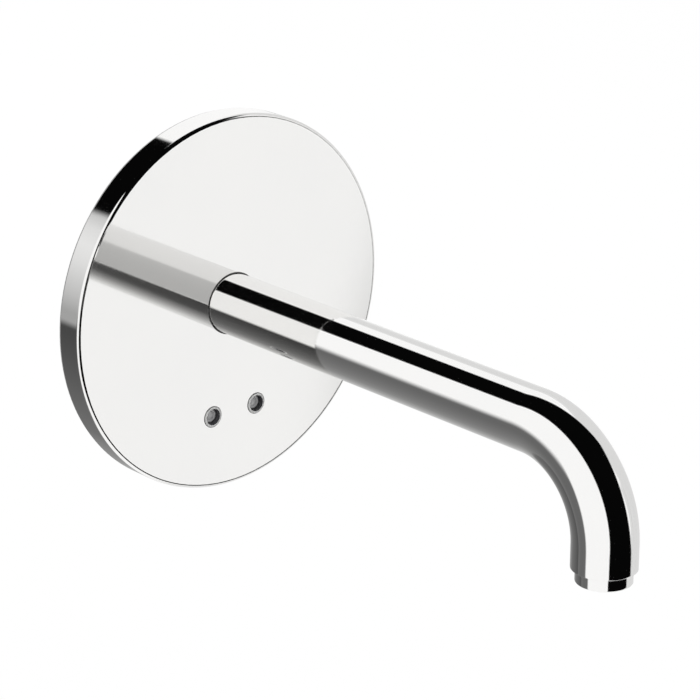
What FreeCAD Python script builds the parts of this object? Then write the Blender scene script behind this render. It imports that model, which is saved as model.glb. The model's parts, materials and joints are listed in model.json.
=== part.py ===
"""Electronic basin mixer for a wall: round plate, bent spout, two sensor windows, valve behind the wall.

The origin lies on the plate's axis in the wall's surface. +Z is up, -Y points into the room along the spout,
+Y goes into the wall and +X is the right-hand side for someone facing the plate. Sizes are millimetres.
"""

import FreeCAD
import Part
import Sketcher
import math
import os
import re

Vector = FreeCAD.Vector
Rotation = FreeCAD.Rotation

# Driving dimensions: every size that can be chosen by itself
SIZES = {
    # Wall plate
    "plate_diameter": 160,
    "plate_depth": 12.5,
    "plate_wall": 2,
    "plate_edge_round": 1.6,
    "gasket_thickness": 0.8,
    "gasket_width": 2.2,
    "gasket_inset": 0.3,
    # Spout tube
    "spout_reach": 225,
    "spout_diameter": 25.6,
    "spout_wall": 1.75,
    "spout_bend_radius": 37.7,
    "spout_end_straight": 9.2,
    "spout_edge_round": 0.15,
    "spout_root_gap": 1,
    "spout_hole_gap": 0.45,
    # Rubber ring between the plate and the spout
    "ring_recess": 0.4,
    "ring_lip_width": 1.8,
    "ring_lip_thickness": 1.2,
    # Spout fastening
    "socket_length": 39,
    "socket_lip_width": 1,
    "socket_lip_thickness": 2,
    "nipple_diameter": 20,
    "nipple_bore": 13,
    "nipple_end_gap": 1,
    "nipple_flange_diameter": 28,
    "nipple_flange_thickness": 3,
    "nipple_thread_diameter": 18,
    "nipple_thread_length": 12,
    "grub_offset": 9.5,
    "grub_diameter": 5,
    "grub_key": 2.5,
    "grub_key_depth": 1.5,
    "grub_groove_depth": 0.8,
    "grub_groove_width": 5.6,
    "o_ring_section": 1.8,
    "o_ring_offset": 9,
    "o_ring_spacing": 5.5,
    "o_ring_groove_width": 2.4,
    # Aerator
    "aerator_diameter": 22,
    "aerator_show": 5.5,
    "aerator_wall": 1.4,
    "aerator_lip_width": 0.6,
    "aerator_lip_thickness": 1,
    "aerator_edge": 0.4,
    "aerator_seal_thickness": 1.6,
    "aerator_seal_width": 2.3,
    "seat_ring_thickness": 1.6,
    "seat_ring_width": 3,
    "insert_thickness": 5,
    "insert_hole_radius": 0.85,
    "insert_hole_pitch": 2.4,
    "sieve_thickness": 0.8,
    "sieve_rim_height": 4,
    "sieve_rim_width": 0.8,
    "sieve_hole_radius": 0.6,
    "sieve_hole_pitch": 2.0,
    # Sensor windows
    "sensor_spacing": 23.5,
    "sensor_drop": 47.5,
    "bezel_diameter": 8.9,
    "bezel_proud": 0.4,
    "bezel_edge_round": 0.25,
    "bezel_bore": 6.6,
    "bezel_sleeve_diameter": 7.9,
    "bezel_hole_gap": 0.1,
    "lens_recess": 2,
    "lens_lip_thickness": 0.4,
    "lens_window": 5.3,
    "lens_diameter": 6.3,
    "lens_thickness": 1.6,
    # Sensor housing
    "housing_side": 3.5,
    "housing_height": 18,
    "housing_wall": 1.5,
    "housing_back_gap": 0.5,
    "cover_thickness": 1,
    "cover_post_radius": 2.2,
    "cover_post_gap": 0.6,
    "cover_screw_radius": 1,
    "cover_screw_length": 4.5,
    "cover_screw_head_radius": 1.9,
    "cover_screw_head_height": 1,
    "board_thickness": 1.2,
    "board_gap": 0.3,
    "optic_diameter": 5,
    "optic_base_diameter": 5.8,
    "optic_base_height": 1,
    "power_inlet_width": 10,
    "power_inlet_height": 7,
    "power_inlet_length": 6,
    "power_inlet_wall": 1,
    # Lead from the sensor to the valve
    "lead_diameter": 3,
    "lead_bend_radius": 8,
    "lead_run_offset": 33,
    "lead_depth_gap": 4,
    "grommet_wall": 0.7,
    "grommet_flange_width": 0.8,
    "grommet_flange_thickness": 1,
    # Carrier plate
    "carrier_edge": 8.6,
    "carrier_thickness": 2,
    "fixing_spacing": 84,
    "fixing_hole_diameter": 5.5,
    "knob_window_diameter": 19,
    "sensor_notch_gap": 2,
    "sensor_notch_rise": 5.5,
    # Clips that hold the plate
    "clip_width": 10,
    "clip_thickness": 0.6,
    "clip_foot_inset": 14,
    "clip_top_gap": 2,
    "clip_gap": 0.1,
    "clip_swell": 1.3,
    "rivet_inset": 8,
    "rivet_diameter": 3,
    "rivet_head_diameter": 5.6,
    "rivet_head_height": 1,
    # Valve block
    "block_width": 52,
    "block_top": 16,
    "block_bottom": 41,
    "block_depth": 30,
    "block_edge": 1,
    "block_screw_diameter": 4,
    "block_screw_length": 10,
    "block_screw_head_diameter": 7,
    "block_screw_head_height": 2.5,
    "block_screw_inset": 5,
    "block_screw_drop": 34,
    "outlet_bore": 12,
    "outlet_end_gap": 1,
    "port_radius": 3,
    "port_offset": 8,
    "mixed_port_radius": 2.5,
    "riser_radius": 1.9,
    # Water inlets
    "inlet_depth": 16,
    "inlet_screw_in_diameter": 18,
    "inlet_screw_in_length": 7,
    "inlet_screw_in_gap": 1,
    "inlet_key": 24,
    "inlet_key_thickness": 6,
    "inlet_thread_diameter": 20.955,
    "inlet_thread_length": 18,
    "inlet_thread_edge": 0.8,
    "inlet_bore": 15,
    "inlet_passage": 10,
    # Non-return valves and strainers in the inlets
    "check_cage_sink": 2,
    "check_cage_length": 14,
    "check_cage_wall": 1.2,
    "check_seat_thickness": 1.5,
    "check_seat_bore": 7,
    "check_hub_thickness": 2,
    "check_hub_offset": 1.5,
    "check_slot_radius": 1.4,
    "check_slot_circle_radius": 4,
    "check_disc_radius": 5,
    "check_disc_thickness": 1.5,
    "check_stem_radius": 1.2,
    "check_stem_show": 1.25,
    "check_spring_radius": 3.2,
    "check_spring_wire": 0.7,
    "filter_thickness": 1,
    "filter_rim_height": 6,
    "filter_rim_width": 0.8,
    "filter_hole_radius": 0.9,
    "filter_hole_pitch": 2.7,
    # Mixing cartridge
    "cartridge_drop": 24,
    "cartridge_diameter": 26,
    "cartridge_depth": 17,
    "cartridge_seal_thickness": 1,
    "cartridge_wall": 2,
    "cartridge_neck_diameter": 13,
    "cartridge_top_thickness": 2,
    "cartridge_nut_thickness": 4,
    "cartridge_nut_recess": 0.5,
    "disc_thickness": 2.6,
    "disc_gap": 0.05,
    "disc_side_gap": 0.3,
    "stem_diameter": 8,
    "stem_flange_thickness": 1.6,
    "stem_seal_section": 1.4,
    "stem_groove_width": 1.7,
    "knob_diameter": 16,
    "knob_gap": 1,
    "knob_slot_width": 1.6,
    "knob_slot_depth": 1.2,
    # Solenoid valve
    "solenoid_depth": 15,
    "seat_bore": 22,
    "seat_depth": 6,
    "seat_hole": 7,
    "seat_ring_diameter": 10.4,
    "seat_groove_diameter": 19,
    "seat_groove_depth": 4,
    "diaphragm_rim_thickness": 1.6,
    "diaphragm_web_thickness": 0.7,
    "centre_diameter": 11,
    "centre_height": 1.8,
    "pilot_radius": 1.5,
    "pilot_height": 0.7,
    "centre_side_gap": 0.3,
    "plunger_diameter": 8,
    "plunger_length": 17,
    "plunger_tip_length": 2.25,
    "plunger_spring_length": 8,
    "plunger_spring_radius": 3.2,
    "plunger_spring_wire": 0.8,
    "armature_wall": 1.4,
    "armature_cap": 2,
    "bonnet_width": 28,
    "bonnet_thickness": 2.5,
    "bonnet_screw_diameter": 3,
    "bonnet_screw_length": 8,
    "bonnet_screw_head_diameter": 5.4,
    "bonnet_screw_head_height": 1.8,
    "bonnet_screw_inset": 3,
    "coil_diameter": 24,
    "coil_height": 16,
    "yoke_width": 15,
    "yoke_thickness": 1.5,
    "coil_nut_key": 14,
    "coil_nut_height": 3.5,
    "terminal_width": 8,
    "terminal_height": 10,
    "terminal_depth": 10,
    "terminal_pin_radius": 0.8,
    "terminal_pin_length": 7,
    "terminal_pin_spacing": 5,
    "plug_wall": 0.5,
    "plug_front": 8,
    "plug_window_gap": 1,
    # Clearances
    "running_gap": 0.05,
    "thread_gap": 0.05,
    "braze_gap": 0.05,
    "seal_gap": 0.03,
    "loose_gap": 0.1,
}

doc = FreeCAD.newDocument("basin_mixer")
sheet = doc.addObject("Spreadsheet::Sheet", "Sizes")
for row, (size_name, size_value) in enumerate(SIZES.items(), start=1):
    sheet.set(f"A{row}", size_name)
    sheet.set(f"B{row}", str(size_value))
    sheet.setAlias(f"B{row}", size_name)
doc.recompute()

# Directions in which a piece's own z axis can point
ROOM = Rotation(Vector(1, 0, 0), 90)
UP = Rotation()
DOWN = Rotation(Vector(1, 0, 0), 180)
RIGHT = Rotation(Vector(0, 1, 0), 90)
LEFT = Rotation(Vector(0, 1, 0), -90)
ORIGIN = ("0", "0", "0")

nodes = {}
cuts = []
SAME_PLACE = 1e-4
LEAST_CUT = 1e-3


# Expressions
def bound(text):
    """Point every size named in an expression at its cell."""
    def cell(word):
        return f"Sizes.{word[0]}" if word[0] in SIZES else word[0]

    return re.sub(r"[a-z][a-z_]*", cell, str(text))


def measured(text):
    """Work out an expression's present value."""
    value = sheet.evalExpression(bound(text))
    return float(getattr(value, "Value", value))


def half(text):
    return f"({text}) / 2"


# Sketches
def draw(body, role, name, offset="0"):
    """Open a sketch on one of the body's own planes, moved along the plane's normal."""
    sketch = body.newObject("Sketcher::SketchObject", name)
    plane = next(item for item in body.Origin.OriginFeatures if item.Role == role)
    sketch.AttachmentSupport = [(plane, "")]
    sketch.MapMode = "FlatFace"
    sketch.setExpression("AttachmentOffset.Base.z", bound(offset))
    return sketch


def bind(sketch, constraint, text):
    number = sketch.addConstraint(constraint)
    sketch.setExpression(f"Constraints[{number}]", bound(text))


def pin(sketch, geometry, point, across, up):
    """Tie one point of the sketch to its distances from the sketch's origin."""
    bind(sketch, Sketcher.Constraint("DistanceX", -1, 1, geometry, point, measured(across)), across)
    bind(sketch, Sketcher.Constraint("DistanceY", -1, 1, geometry, point, measured(up)), up)


def outline(sketch, corners):
    """Draw a closed outline of straight lines through bound corners."""
    spots = [Vector(measured(across), measured(up), 0) for across, up in corners]
    first = sketch.GeometryCount
    for start, end in zip(spots, spots[1:] + spots[:1]):
        sketch.addGeometry(Part.LineSegment(start, end), False)
    for number, (across, up) in enumerate(corners):
        before = first + (number - 1) % len(corners)
        sketch.addConstraint(Sketcher.Constraint("Coincident", before, 2, first + number, 1))
        pin(sketch, first + number, 1, across, up)


def circle(sketch, radius, across="0", up="0"):
    middle = Vector(measured(across), measured(up), 0)
    number = sketch.addGeometry(Part.Circle(middle, Vector(0, 0, 1), measured(radius)), False)
    bind(sketch, Sketcher.Constraint("Radius", number, measured(radius)), radius)
    pin(sketch, number, 3, across, up)


def rectangle(width, height, across="0", up="0"):
    """Corners of an upright rectangle about a middle point."""
    signs = [(-1, -1), (1, -1), (1, 1), (-1, 1)]
    return [
        (f"({across}) + {side} * ({width}) / 2", f"({up}) + {level} * ({height}) / 2")
        for side, level in signs
    ]


def hexagon(key, across="0", up="0"):
    """Corners of a hexagon with the given size across its flats."""
    return [
        (
            f"({across}) + ({key}) / sqrt(3) * cos({60 * turn} deg)",
            f"({up}) + ({key}) / sqrt(3) * sin({60 * turn} deg)",
        )
        for turn in range(6)
    ]


def grid(pitch, limit):
    """Centres of a triangular grid of holes that stay inside a radius."""
    step = measured(pitch)
    reach = int(measured(limit) / step) + 1
    spots = []
    for line in range(-reach, reach + 1):
        for place_in_line in range(-reach, reach + 1):
            columns = place_in_line + line / 2
            rows = line * math.sqrt(3) / 2
            if math.hypot(columns, rows) * step < measured(limit):
                spots.append((f"{columns} * ({pitch})", f"{rows} * ({pitch})"))
    return spots


# Pieces
def new_body(name, at, turn):
    body = doc.addObject("PartDesign::Body", name)
    place(body, at, turn)
    return body


def place(thing, at, turn):
    thing.Placement = FreeCAD.Placement(Vector(), turn)
    for axis, text in zip("xyz", at):
        thing.setExpression(f"Placement.Base.{axis}", bound(text))


def node(name, thing):
    thing.Label = name
    nodes[name] = thing
    return thing


def spun(name, corners, at=ORIGIN, turn=ROOM):
    """A body turned on a lathe: (radius, height) corners spun about its own z axis."""
    body = new_body(name, at, turn)
    profile = draw(body, "XZ_Plane", "profile")
    outline(profile, corners)
    feature = body.newObject("PartDesign::Revolution", "turned")
    feature.Profile = profile
    feature.ReferenceAxis = (profile, ["V_Axis"])
    feature.Angle = 360
    return body


def ring(name, inner, outer, bottom, top, at=ORIGIN, turn=ROOM):
    """A plain turned ring, or a disc where the inner radius is zero."""
    return spun(name, [(inner, bottom), (outer, bottom), (outer, top), (inner, top)], at, turn)


def shapes_on(sketch, outlines, rounds):
    for corners in outlines:
        outline(sketch, corners)
    for radius, across, up in rounds:
        circle(sketch, radius, across, up)


def raised(name, bottom, height, outlines=(), rounds=(), at=ORIGIN, turn=ROOM):
    """A body padded along its own z axis from a flat drawing."""
    body = new_body(name, at, turn)
    add(body, bottom, height, outlines, rounds)
    return body


def add(body, bottom, height, outlines=(), rounds=(), role="XY_Plane"):
    """Pad a drawing along the normal of one of the body's planes."""
    sketch = draw(body, role, "drawing", bottom)
    shapes_on(sketch, outlines, rounds)
    pad = body.newObject("PartDesign::Pad", "padded")
    pad.Profile = sketch
    pad.setExpression("Length", bound(height))


def cut(body, start, length, outlines=(), rounds=(), role="XY_Plane", forward=True):
    """Cut a drawing out of the body, along the plane's normal or against it."""
    sketch = draw(body, role, "cut_drawing", start)
    shapes_on(sketch, outlines, rounds)
    pocket = body.newObject("PartDesign::Pocket", "cut")
    pocket.Profile = sketch
    pocket.setExpression("Length", bound(length))
    pocket.Reversed = forward
    cuts.append(pocket)


def circle_edges(shape, radius, height):
    """Names of the circular edges about the z axis with this radius and height."""
    return [
        f"Edge{number}"
        for number, edge in enumerate(shape.Edges, start=1)
        if isinstance(edge.Curve, Part.Circle)
        and abs(edge.Curve.Radius - measured(radius)) < SAME_PLACE
        and abs(edge.Curve.Center.z - measured(height)) < SAME_PLACE
        and math.hypot(edge.Curve.Center.x, edge.Curve.Center.y) < SAME_PLACE
    ]


def eased(body, kind, size, choose):
    """Round ("Fillet", Radius) or bevel ("Chamfer", Size) the chosen edges of the body as it is so far."""
    doc.recompute()
    base = body.Tip
    shape = base.Shape.copy()
    feature = body.newObject(f"PartDesign::{kind}", "eased")
    feature.Base = (base, choose(shape))
    feature.setExpression("Radius" if kind == "Fillet" else "Size", bound(size))


def group(name, pieces):
    """Identical pieces in one node, each a solid of its own."""
    compound = doc.addObject("Part::Compound", name)
    compound.Links = pieces
    return node(name, compound)


def turned_about_axis(angle):
    """The room-facing frame, turned about the plate's axis."""
    return ROOM * Rotation(Vector(0, 0, 1), angle)


def o_ring(name, groove_radius, section, at, turn):
    """A round-section ring that lies just off the floor of its groove."""
    torus = doc.addObject("Part::Torus", name)
    torus.setExpression("Radius1", bound(f"({groove_radius}) + seal_gap + ({section}) / 2"))
    torus.setExpression("Radius2", bound(half(section)))
    place(torus, at, turn)
    return torus


# Heights above the wall, and radii, that several pieces share
PLATE_RADIUS = "plate_diameter / 2"
PLATE_BACK = "(plate_depth - plate_wall)"
TUBE_RADIUS = "spout_diameter / 2"
TUBE_BORE_RADIUS = "(spout_diameter / 2 - spout_wall)"
PLATE_HOLE_RADIUS = "(spout_diameter / 2 + spout_hole_gap)"
NIPPLE_RADIUS = "nipple_diameter / 2"
NIPPLE_FLANGE_TOP = "(carrier_thickness + nipple_flange_thickness)"
SPOUT_ROOT = "(carrier_thickness + nipple_flange_thickness + spout_root_gap)"
SOCKET_END = f"({SPOUT_ROOT} + socket_length)"
NIPPLE_END = f"({SOCKET_END} - socket_lip_thickness - nipple_end_gap)"
GRUB_PLACE = "(plate_depth + grub_offset)"
O_RING_PLACES = [f"({GRUB_PLACE} + o_ring_offset)", f"({GRUB_PLACE} + o_ring_offset + o_ring_spacing)"]
O_RING_FLOOR = "(nipple_diameter / 2 - o_ring_section)"
SPOUT_MOUTH = ("0", "-spout_reach", "-(spout_bend_radius + spout_end_straight)")
CARRIER_TOP = "carrier_thickness"
CARRIER_RADIUS = "(fixing_spacing / sqrt(2) + carrier_edge)"
RIVET_CIRCLE = f"({CARRIER_RADIUS} - rivet_inset)"


def escutcheon_plate():
    """The visible wall plate: a shallow pan with a hole for the spout and two for the sensor."""
    body = spun("escutcheon_plate", [
        (PLATE_HOLE_RADIUS, PLATE_BACK),
        (PLATE_HOLE_RADIUS, "plate_depth"),
        (PLATE_RADIUS, "plate_depth"),
        (PLATE_RADIUS, "gasket_thickness"),
        (f"{PLATE_RADIUS} - plate_wall", "gasket_thickness"),
        (f"{PLATE_RADIUS} - plate_wall", PLATE_BACK),
    ])
    hole = "bezel_sleeve_diameter / 2 + bezel_hole_gap"
    cut(body, PLATE_BACK, "plate_wall", rounds=[(hole, across, "-sensor_drop") for across in SENSOR_PLACES])
    eased(body, "Fillet", "plate_edge_round", lambda shape: circle_edges(shape, PLATE_RADIUS, "plate_depth"))
    node("escutcheon_plate", body)


def wall_gasket():
    """Thin soft ring between the plate's rim and the wall."""
    outer = f"{PLATE_RADIUS} - gasket_inset"
    node("wall_gasket", ring("wall_gasket", f"{outer} - gasket_width", outer, "0", "gasket_thickness"))


def spout_tube():
    """Bent tube: straight out of the wall, a quarter turn down, a short straight end."""
    body = new_body("spout_tube", ORIGIN, UP)
    path = draw(body, "YZ_Plane", "path")
    bend_start = "-(spout_reach - spout_bend_radius)"
    stops = [
        (f"-{SPOUT_ROOT}", "0"),
        (bend_start, "0"),
        ("-spout_reach", "-spout_bend_radius"),
        ("-spout_reach", "-(spout_bend_radius + spout_end_straight)"),
    ]
    spots = [Vector(measured(across), measured(up), 0) for across, up in stops]
    bend = measured("spout_bend_radius")
    middle = spots[1] + Vector(0, -bend, 0)
    halfway = middle + Vector(-bend, bend, 0) / math.sqrt(2)
    path.addGeometry(Part.LineSegment(spots[0], spots[1]), False)
    path.addGeometry(Part.Arc(spots[1], halfway, spots[2]), False)
    path.addGeometry(Part.LineSegment(spots[2], spots[3]), False)
    pin(path, 0, 1, *stops[0])
    pin(path, 0, 2, *stops[1])
    pin(path, 2, 1, *stops[2])
    pin(path, 2, 2, *stops[3])
    path.addConstraint(Sketcher.Constraint("Coincident", 0, 2, 1, 1))
    path.addConstraint(Sketcher.Constraint("Coincident", 1, 2, 2, 1))
    bind(path, Sketcher.Constraint("Radius", 1, bend), "spout_bend_radius")
    section = draw(body, "XZ_Plane", "section", SPOUT_ROOT)
    circle(section, TUBE_RADIUS)
    circle(section, TUBE_BORE_RADIUS)
    pipe = body.newObject("PartDesign::AdditivePipe", "pipe")
    pipe.Profile = section
    pipe.Spine = path
    hole = f"{half('grub_diameter')} + thread_gap"
    cut(body, "0", "spout_diameter", rounds=[(hole, "0", f"-{GRUB_PLACE}")], forward=False)
    mouth = -measured("spout_bend_radius + spout_end_straight")

    def outer_mouth_edge(shape):
        return [
            f"Edge{number}"
            for number, edge in enumerate(shape.Edges, start=1)
            if isinstance(edge.Curve, Part.Circle)
            and abs(edge.Curve.Center.z - mouth) < SAME_PLACE
            and abs(edge.Curve.Radius - measured(TUBE_RADIUS)) < SAME_PLACE
        ]

    eased(body, "Fillet", "spout_edge_round", outer_mouth_edge)
    node("spout_tube", body)


def spout_seal_ring():
    """Dark rubber ring that closes the gap between the plate's hole and the spout."""
    inner = f"{TUBE_RADIUS} + seal_gap"
    outer = f"{PLATE_HOLE_RADIUS} - seal_gap"
    lip = f"{PLATE_HOLE_RADIUS} + ring_lip_width"
    top = "plate_depth - ring_recess"
    bottom = f"{PLATE_BACK} - ring_lip_thickness"
    corners = [
        (inner, bottom),
        (lip, bottom),
        (lip, PLATE_BACK),
        (outer, PLATE_BACK),
        (outer, top),
        (inner, top),
    ]
    node("spout_seal_ring", spun("spout_seal_ring", corners))


def spout_socket():
    """Brass sleeve brazed into the spout's root, which slides over the outlet nipple."""
    bore = f"{NIPPLE_RADIUS} + running_gap"
    outer = f"{TUBE_BORE_RADIUS} - braze_gap"
    lip = f"{SOCKET_END} - socket_lip_thickness"
    body = spun("spout_socket", [
        (bore, SPOUT_ROOT),
        (outer, SPOUT_ROOT),
        (outer, SOCKET_END),
        (f"{NIPPLE_RADIUS} - socket_lip_width", SOCKET_END),
        (f"{NIPPLE_RADIUS} - socket_lip_width", lip),
        (bore, lip),
    ])
    hole = f"{half('grub_diameter')} + thread_gap"
    cut(body, "0", "spout_diameter", rounds=[(hole, "0", GRUB_PLACE)], role="XZ_Plane")
    node("spout_socket", body)


def spout_grub_screw():
    """Set screw from below through the spout and its socket into the nipple's groove."""
    start = f"{NIPPLE_RADIUS} - grub_groove_depth + running_gap"
    end = f"{TUBE_RADIUS} - loose_gap"
    at = ("0", f"-{GRUB_PLACE}", "0")
    body = ring("spout_grub_screw", "0", half("grub_diameter"), start, end, at, DOWN)
    cut(body, f"{end} - grub_key_depth", "grub_key_depth", [hexagon("grub_key")])
    node("spout_grub_screw", body)


def outlet_nipple():
    """Brass nipple: screwed into the block, its flange clamps the carrier, its nose carries the spout."""
    thread = "nipple_thread_diameter / 2 - thread_gap"
    bore = half("nipple_bore")
    groove = f"{NIPPLE_RADIUS} - grub_groove_depth"
    corners = [
        (bore, "-nipple_thread_length"),
        (thread, "-nipple_thread_length"),
        (thread, CARRIER_TOP),
        (half("nipple_flange_diameter"), CARRIER_TOP),
        (half("nipple_flange_diameter"), NIPPLE_FLANGE_TOP),
        (NIPPLE_RADIUS, NIPPLE_FLANGE_TOP),
    ]
    grooves = [(GRUB_PLACE, "grub_groove_width", groove)]
    grooves += [(spot, "o_ring_groove_width", O_RING_FLOOR) for spot in O_RING_PLACES]
    for spot, width, floor in grooves:
        corners += [
            (NIPPLE_RADIUS, f"{spot} - {width} / 2"),
            (floor, f"{spot} - {width} / 2"),
            (floor, f"{spot} + {width} / 2"),
            (NIPPLE_RADIUS, f"{spot} + {width} / 2"),
        ]
    corners += [(NIPPLE_RADIUS, NIPPLE_END), (bore, NIPPLE_END)]
    node("outlet_nipple", spun("outlet_nipple", corners))


def nipple_seals():
    """Two rings that seal the spout's socket on the nipple."""
    rings = [
        o_ring("nipple_seal", O_RING_FLOOR, "o_ring_section", ("0", f"-{spot}", "0"), ROOM)
        for spot in O_RING_PLACES
    ]
    group("nipple_seals", rings)


# Aerator in the spout's mouth: heights run down from the mouth
AERATOR_RADIUS = "aerator_diameter / 2"
AERATOR_BORE = "(aerator_diameter / 2 - aerator_wall)"
SEAL_TOP = "-(spout_end_straight - seat_ring_thickness)"
AERATOR_TOP = "-(spout_end_straight - seat_ring_thickness - aerator_seal_thickness)"
INSERT_BOTTOM = "(aerator_show - aerator_lip_thickness)"
INSERT_TOP = "(aerator_show - aerator_lip_thickness - insert_thickness)"


def aerator_seat_ring():
    """Ring brazed in the tube that the aerator's washer seals against."""
    outer = f"{TUBE_BORE_RADIUS} - braze_gap"
    body = ring("aerator_seat_ring", f"{outer} - seat_ring_width", outer, "-spout_end_straight", SEAL_TOP,
                SPOUT_MOUTH, DOWN)
    node("aerator_seat_ring", body)


def aerator_seal():
    """Flat washer between the seat ring and the aerator."""
    outer = f"{AERATOR_RADIUS} - loose_gap"
    inner = f"{outer} - aerator_seal_width"
    body = ring("aerator_seal", inner, outer, SEAL_TOP, AERATOR_TOP, SPOUT_MOUTH, DOWN)
    node("aerator_seal", body)


def aerator_housing():
    """Screwed ring whose lower part shows below the tube and whose lip holds the insert."""
    lip = f"{AERATOR_BORE} - aerator_lip_width"
    body = spun("aerator_housing", [
        (AERATOR_BORE, AERATOR_TOP),
        (AERATOR_RADIUS, AERATOR_TOP),
        (AERATOR_RADIUS, "aerator_show"),
        (lip, "aerator_show"),
        (lip, INSERT_BOTTOM),
        (AERATOR_BORE, INSERT_BOTTOM),
    ], SPOUT_MOUTH, DOWN)
    eased(body, "Fillet", "aerator_edge", lambda shape: circle_edges(shape, AERATOR_RADIUS, "aerator_show"))
    node("aerator_housing", body)


def aerator_insert():
    """Honeycomb disc that straightens the stream."""
    radius = f"{AERATOR_BORE} - loose_gap"
    body = ring("aerator_insert", "0", radius, INSERT_TOP, INSERT_BOTTOM, SPOUT_MOUTH, DOWN)
    limit = f"{AERATOR_BORE} - aerator_lip_width - insert_hole_radius"
    holes = [("insert_hole_radius", across, up) for across, up in grid("insert_hole_pitch", limit)]
    cut(body, INSERT_TOP, "insert_thickness", rounds=holes)
    node("aerator_insert", body)


def aerator_sieve():
    """Strainer cup above the honeycomb."""
    radius = f"({AERATOR_BORE} - loose_gap)"
    low = INSERT_TOP
    body = spun("aerator_sieve", [
        ("0", f"{low} - sieve_thickness"),
        (f"{radius} - sieve_rim_width", f"{low} - sieve_thickness"),
        (f"{radius} - sieve_rim_width", f"{low} - sieve_rim_height"),
        (radius, f"{low} - sieve_rim_height"),
        (radius, low),
        ("0", low),
    ], SPOUT_MOUTH, DOWN)
    limit = f"{radius} - sieve_rim_width - sieve_hole_radius"
    holes = [("sieve_hole_radius", across, up) for across, up in grid("sieve_hole_pitch", limit)]
    cut(body, f"{low} - sieve_thickness", "sieve_thickness", rounds=holes)
    node("aerator_sieve", body)


# Sensor: two windows in the plate, one housing behind it
SENSOR_PLACES = ["-sensor_spacing / 2", "sensor_spacing / 2"]
LENS_FRONT = "(plate_depth - lens_recess - lens_lip_thickness)"
LENS_BACK = f"({LENS_FRONT} - lens_thickness)"
COVER_BACK = "(carrier_thickness + housing_back_gap)"
HOUSING_BACK = f"({COVER_BACK} + cover_thickness)"
HOUSING_FLOOR = f"({PLATE_BACK} - housing_wall)"
BOARD_BACK = f"({HOUSING_BACK} + board_gap)"
BOARD_FRONT = f"({BOARD_BACK} + board_thickness)"
COVER_POST = "((sensor_spacing + bezel_sleeve_diameter) / 2 + cover_post_gap + cover_post_radius)"
COVER_SCREW_PLACES = [f"-{COVER_POST}", COVER_POST]
HOUSING_SIDE = f"({COVER_POST} + housing_side)"
HOUSING_WIDTH = f"(2 * {HOUSING_SIDE})"
LEAD_DEPTH = f"({PLATE_BACK} - lead_depth_gap)"


def sensor_bezel(name, across):
    """Chrome ring with a threaded sleeve, which holds the lens and clamps the housing to the plate."""
    top = "(plate_depth + bezel_proud)"
    sleeve = half("bezel_sleeve_diameter")
    pocket = "lens_diameter / 2 + running_gap"
    body = spun(name, [
        (half("bezel_bore"), "plate_depth - lens_recess"),
        (half("bezel_bore"), top),
        (half("bezel_diameter"), top),
        (half("bezel_diameter"), "plate_depth"),
        (sleeve, "plate_depth"),
        (sleeve, LENS_BACK),
        (pocket, LENS_BACK),
        (pocket, LENS_FRONT),
        (half("lens_window"), LENS_FRONT),
        (half("lens_window"), "plate_depth - lens_recess"),
    ], (across, "0", "-sensor_drop"))
    eased(body, "Fillet", "bezel_edge_round", lambda shape: circle_edges(shape, half("bezel_diameter"), top))
    node(name, body)


def sensor_lens(name, across):
    """Grey window that lets infrared light through."""
    node(name, ring(name, "0", half("lens_diameter"), LENS_BACK, LENS_FRONT, (across, "0", "-sensor_drop")))


def optic(name, across):
    """Infrared part on the board: a round base and a narrower nose behind the lens."""
    base = f"{BOARD_FRONT} + optic_base_height"
    top = f"{LENS_BACK} - loose_gap"
    base_radius = half("optic_base_diameter")
    nose_radius = half("optic_diameter")
    corners = [("0", BOARD_FRONT), (base_radius, BOARD_FRONT), (base_radius, base), (nose_radius, base)]
    corners += [(nose_radius, top), ("0", top)]
    node(name, spun(name, corners, (across, "0", "-sensor_drop")))


def sensor_housing():
    """Moulded box behind the plate, screwed on by the two bezels."""
    at = ("0", "0", "-sensor_drop")
    body = raised("sensor_housing", HOUSING_BACK, f"{PLATE_BACK} - {HOUSING_BACK}",
                  [rectangle(HOUSING_WIDTH, "housing_height")], at=at)
    inside = rectangle(f"{HOUSING_WIDTH} - 2 * housing_wall", "housing_height - 2 * housing_wall")
    cut(body, HOUSING_BACK, f"{HOUSING_FLOOR} - {HOUSING_BACK}", [inside])
    add(body, BOARD_FRONT, f"{HOUSING_FLOOR} - {BOARD_FRONT}",
        rounds=[("cover_post_radius", across, "0") for across in COVER_SCREW_PLACES])
    screw = "cover_screw_radius + thread_gap"
    cut(body, BOARD_FRONT, f"{HOUSING_FLOOR} - {BOARD_FRONT}",
        rounds=[(screw, across, "0") for across in COVER_SCREW_PLACES])
    sleeve = f"{half('bezel_sleeve_diameter')} + thread_gap"
    cut(body, HOUSING_FLOOR, "housing_wall", rounds=[(sleeve, across, "0") for across in SENSOR_PLACES])
    grommet = "lead_diameter / 2 + running_gap + grommet_wall + running_gap"
    cut(body, f"{HOUSING_SIDE} - housing_wall", "housing_wall", rounds=[(grommet, "0", LEAD_DEPTH)],
        role="YZ_Plane")
    node("sensor_housing", body)


def sensor_housing_cover():
    """Flat back cover of the sensor housing."""
    body = raised("sensor_housing_cover", COVER_BACK, "cover_thickness",
                  [rectangle(HOUSING_WIDTH, "housing_height")], at=("0", "0", "-sensor_drop"))
    hole = "cover_screw_radius + loose_gap"
    cut(body, COVER_BACK, "cover_thickness", rounds=[(hole, across, "0") for across in COVER_SCREW_PLACES])
    node("sensor_housing_cover", body)


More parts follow.
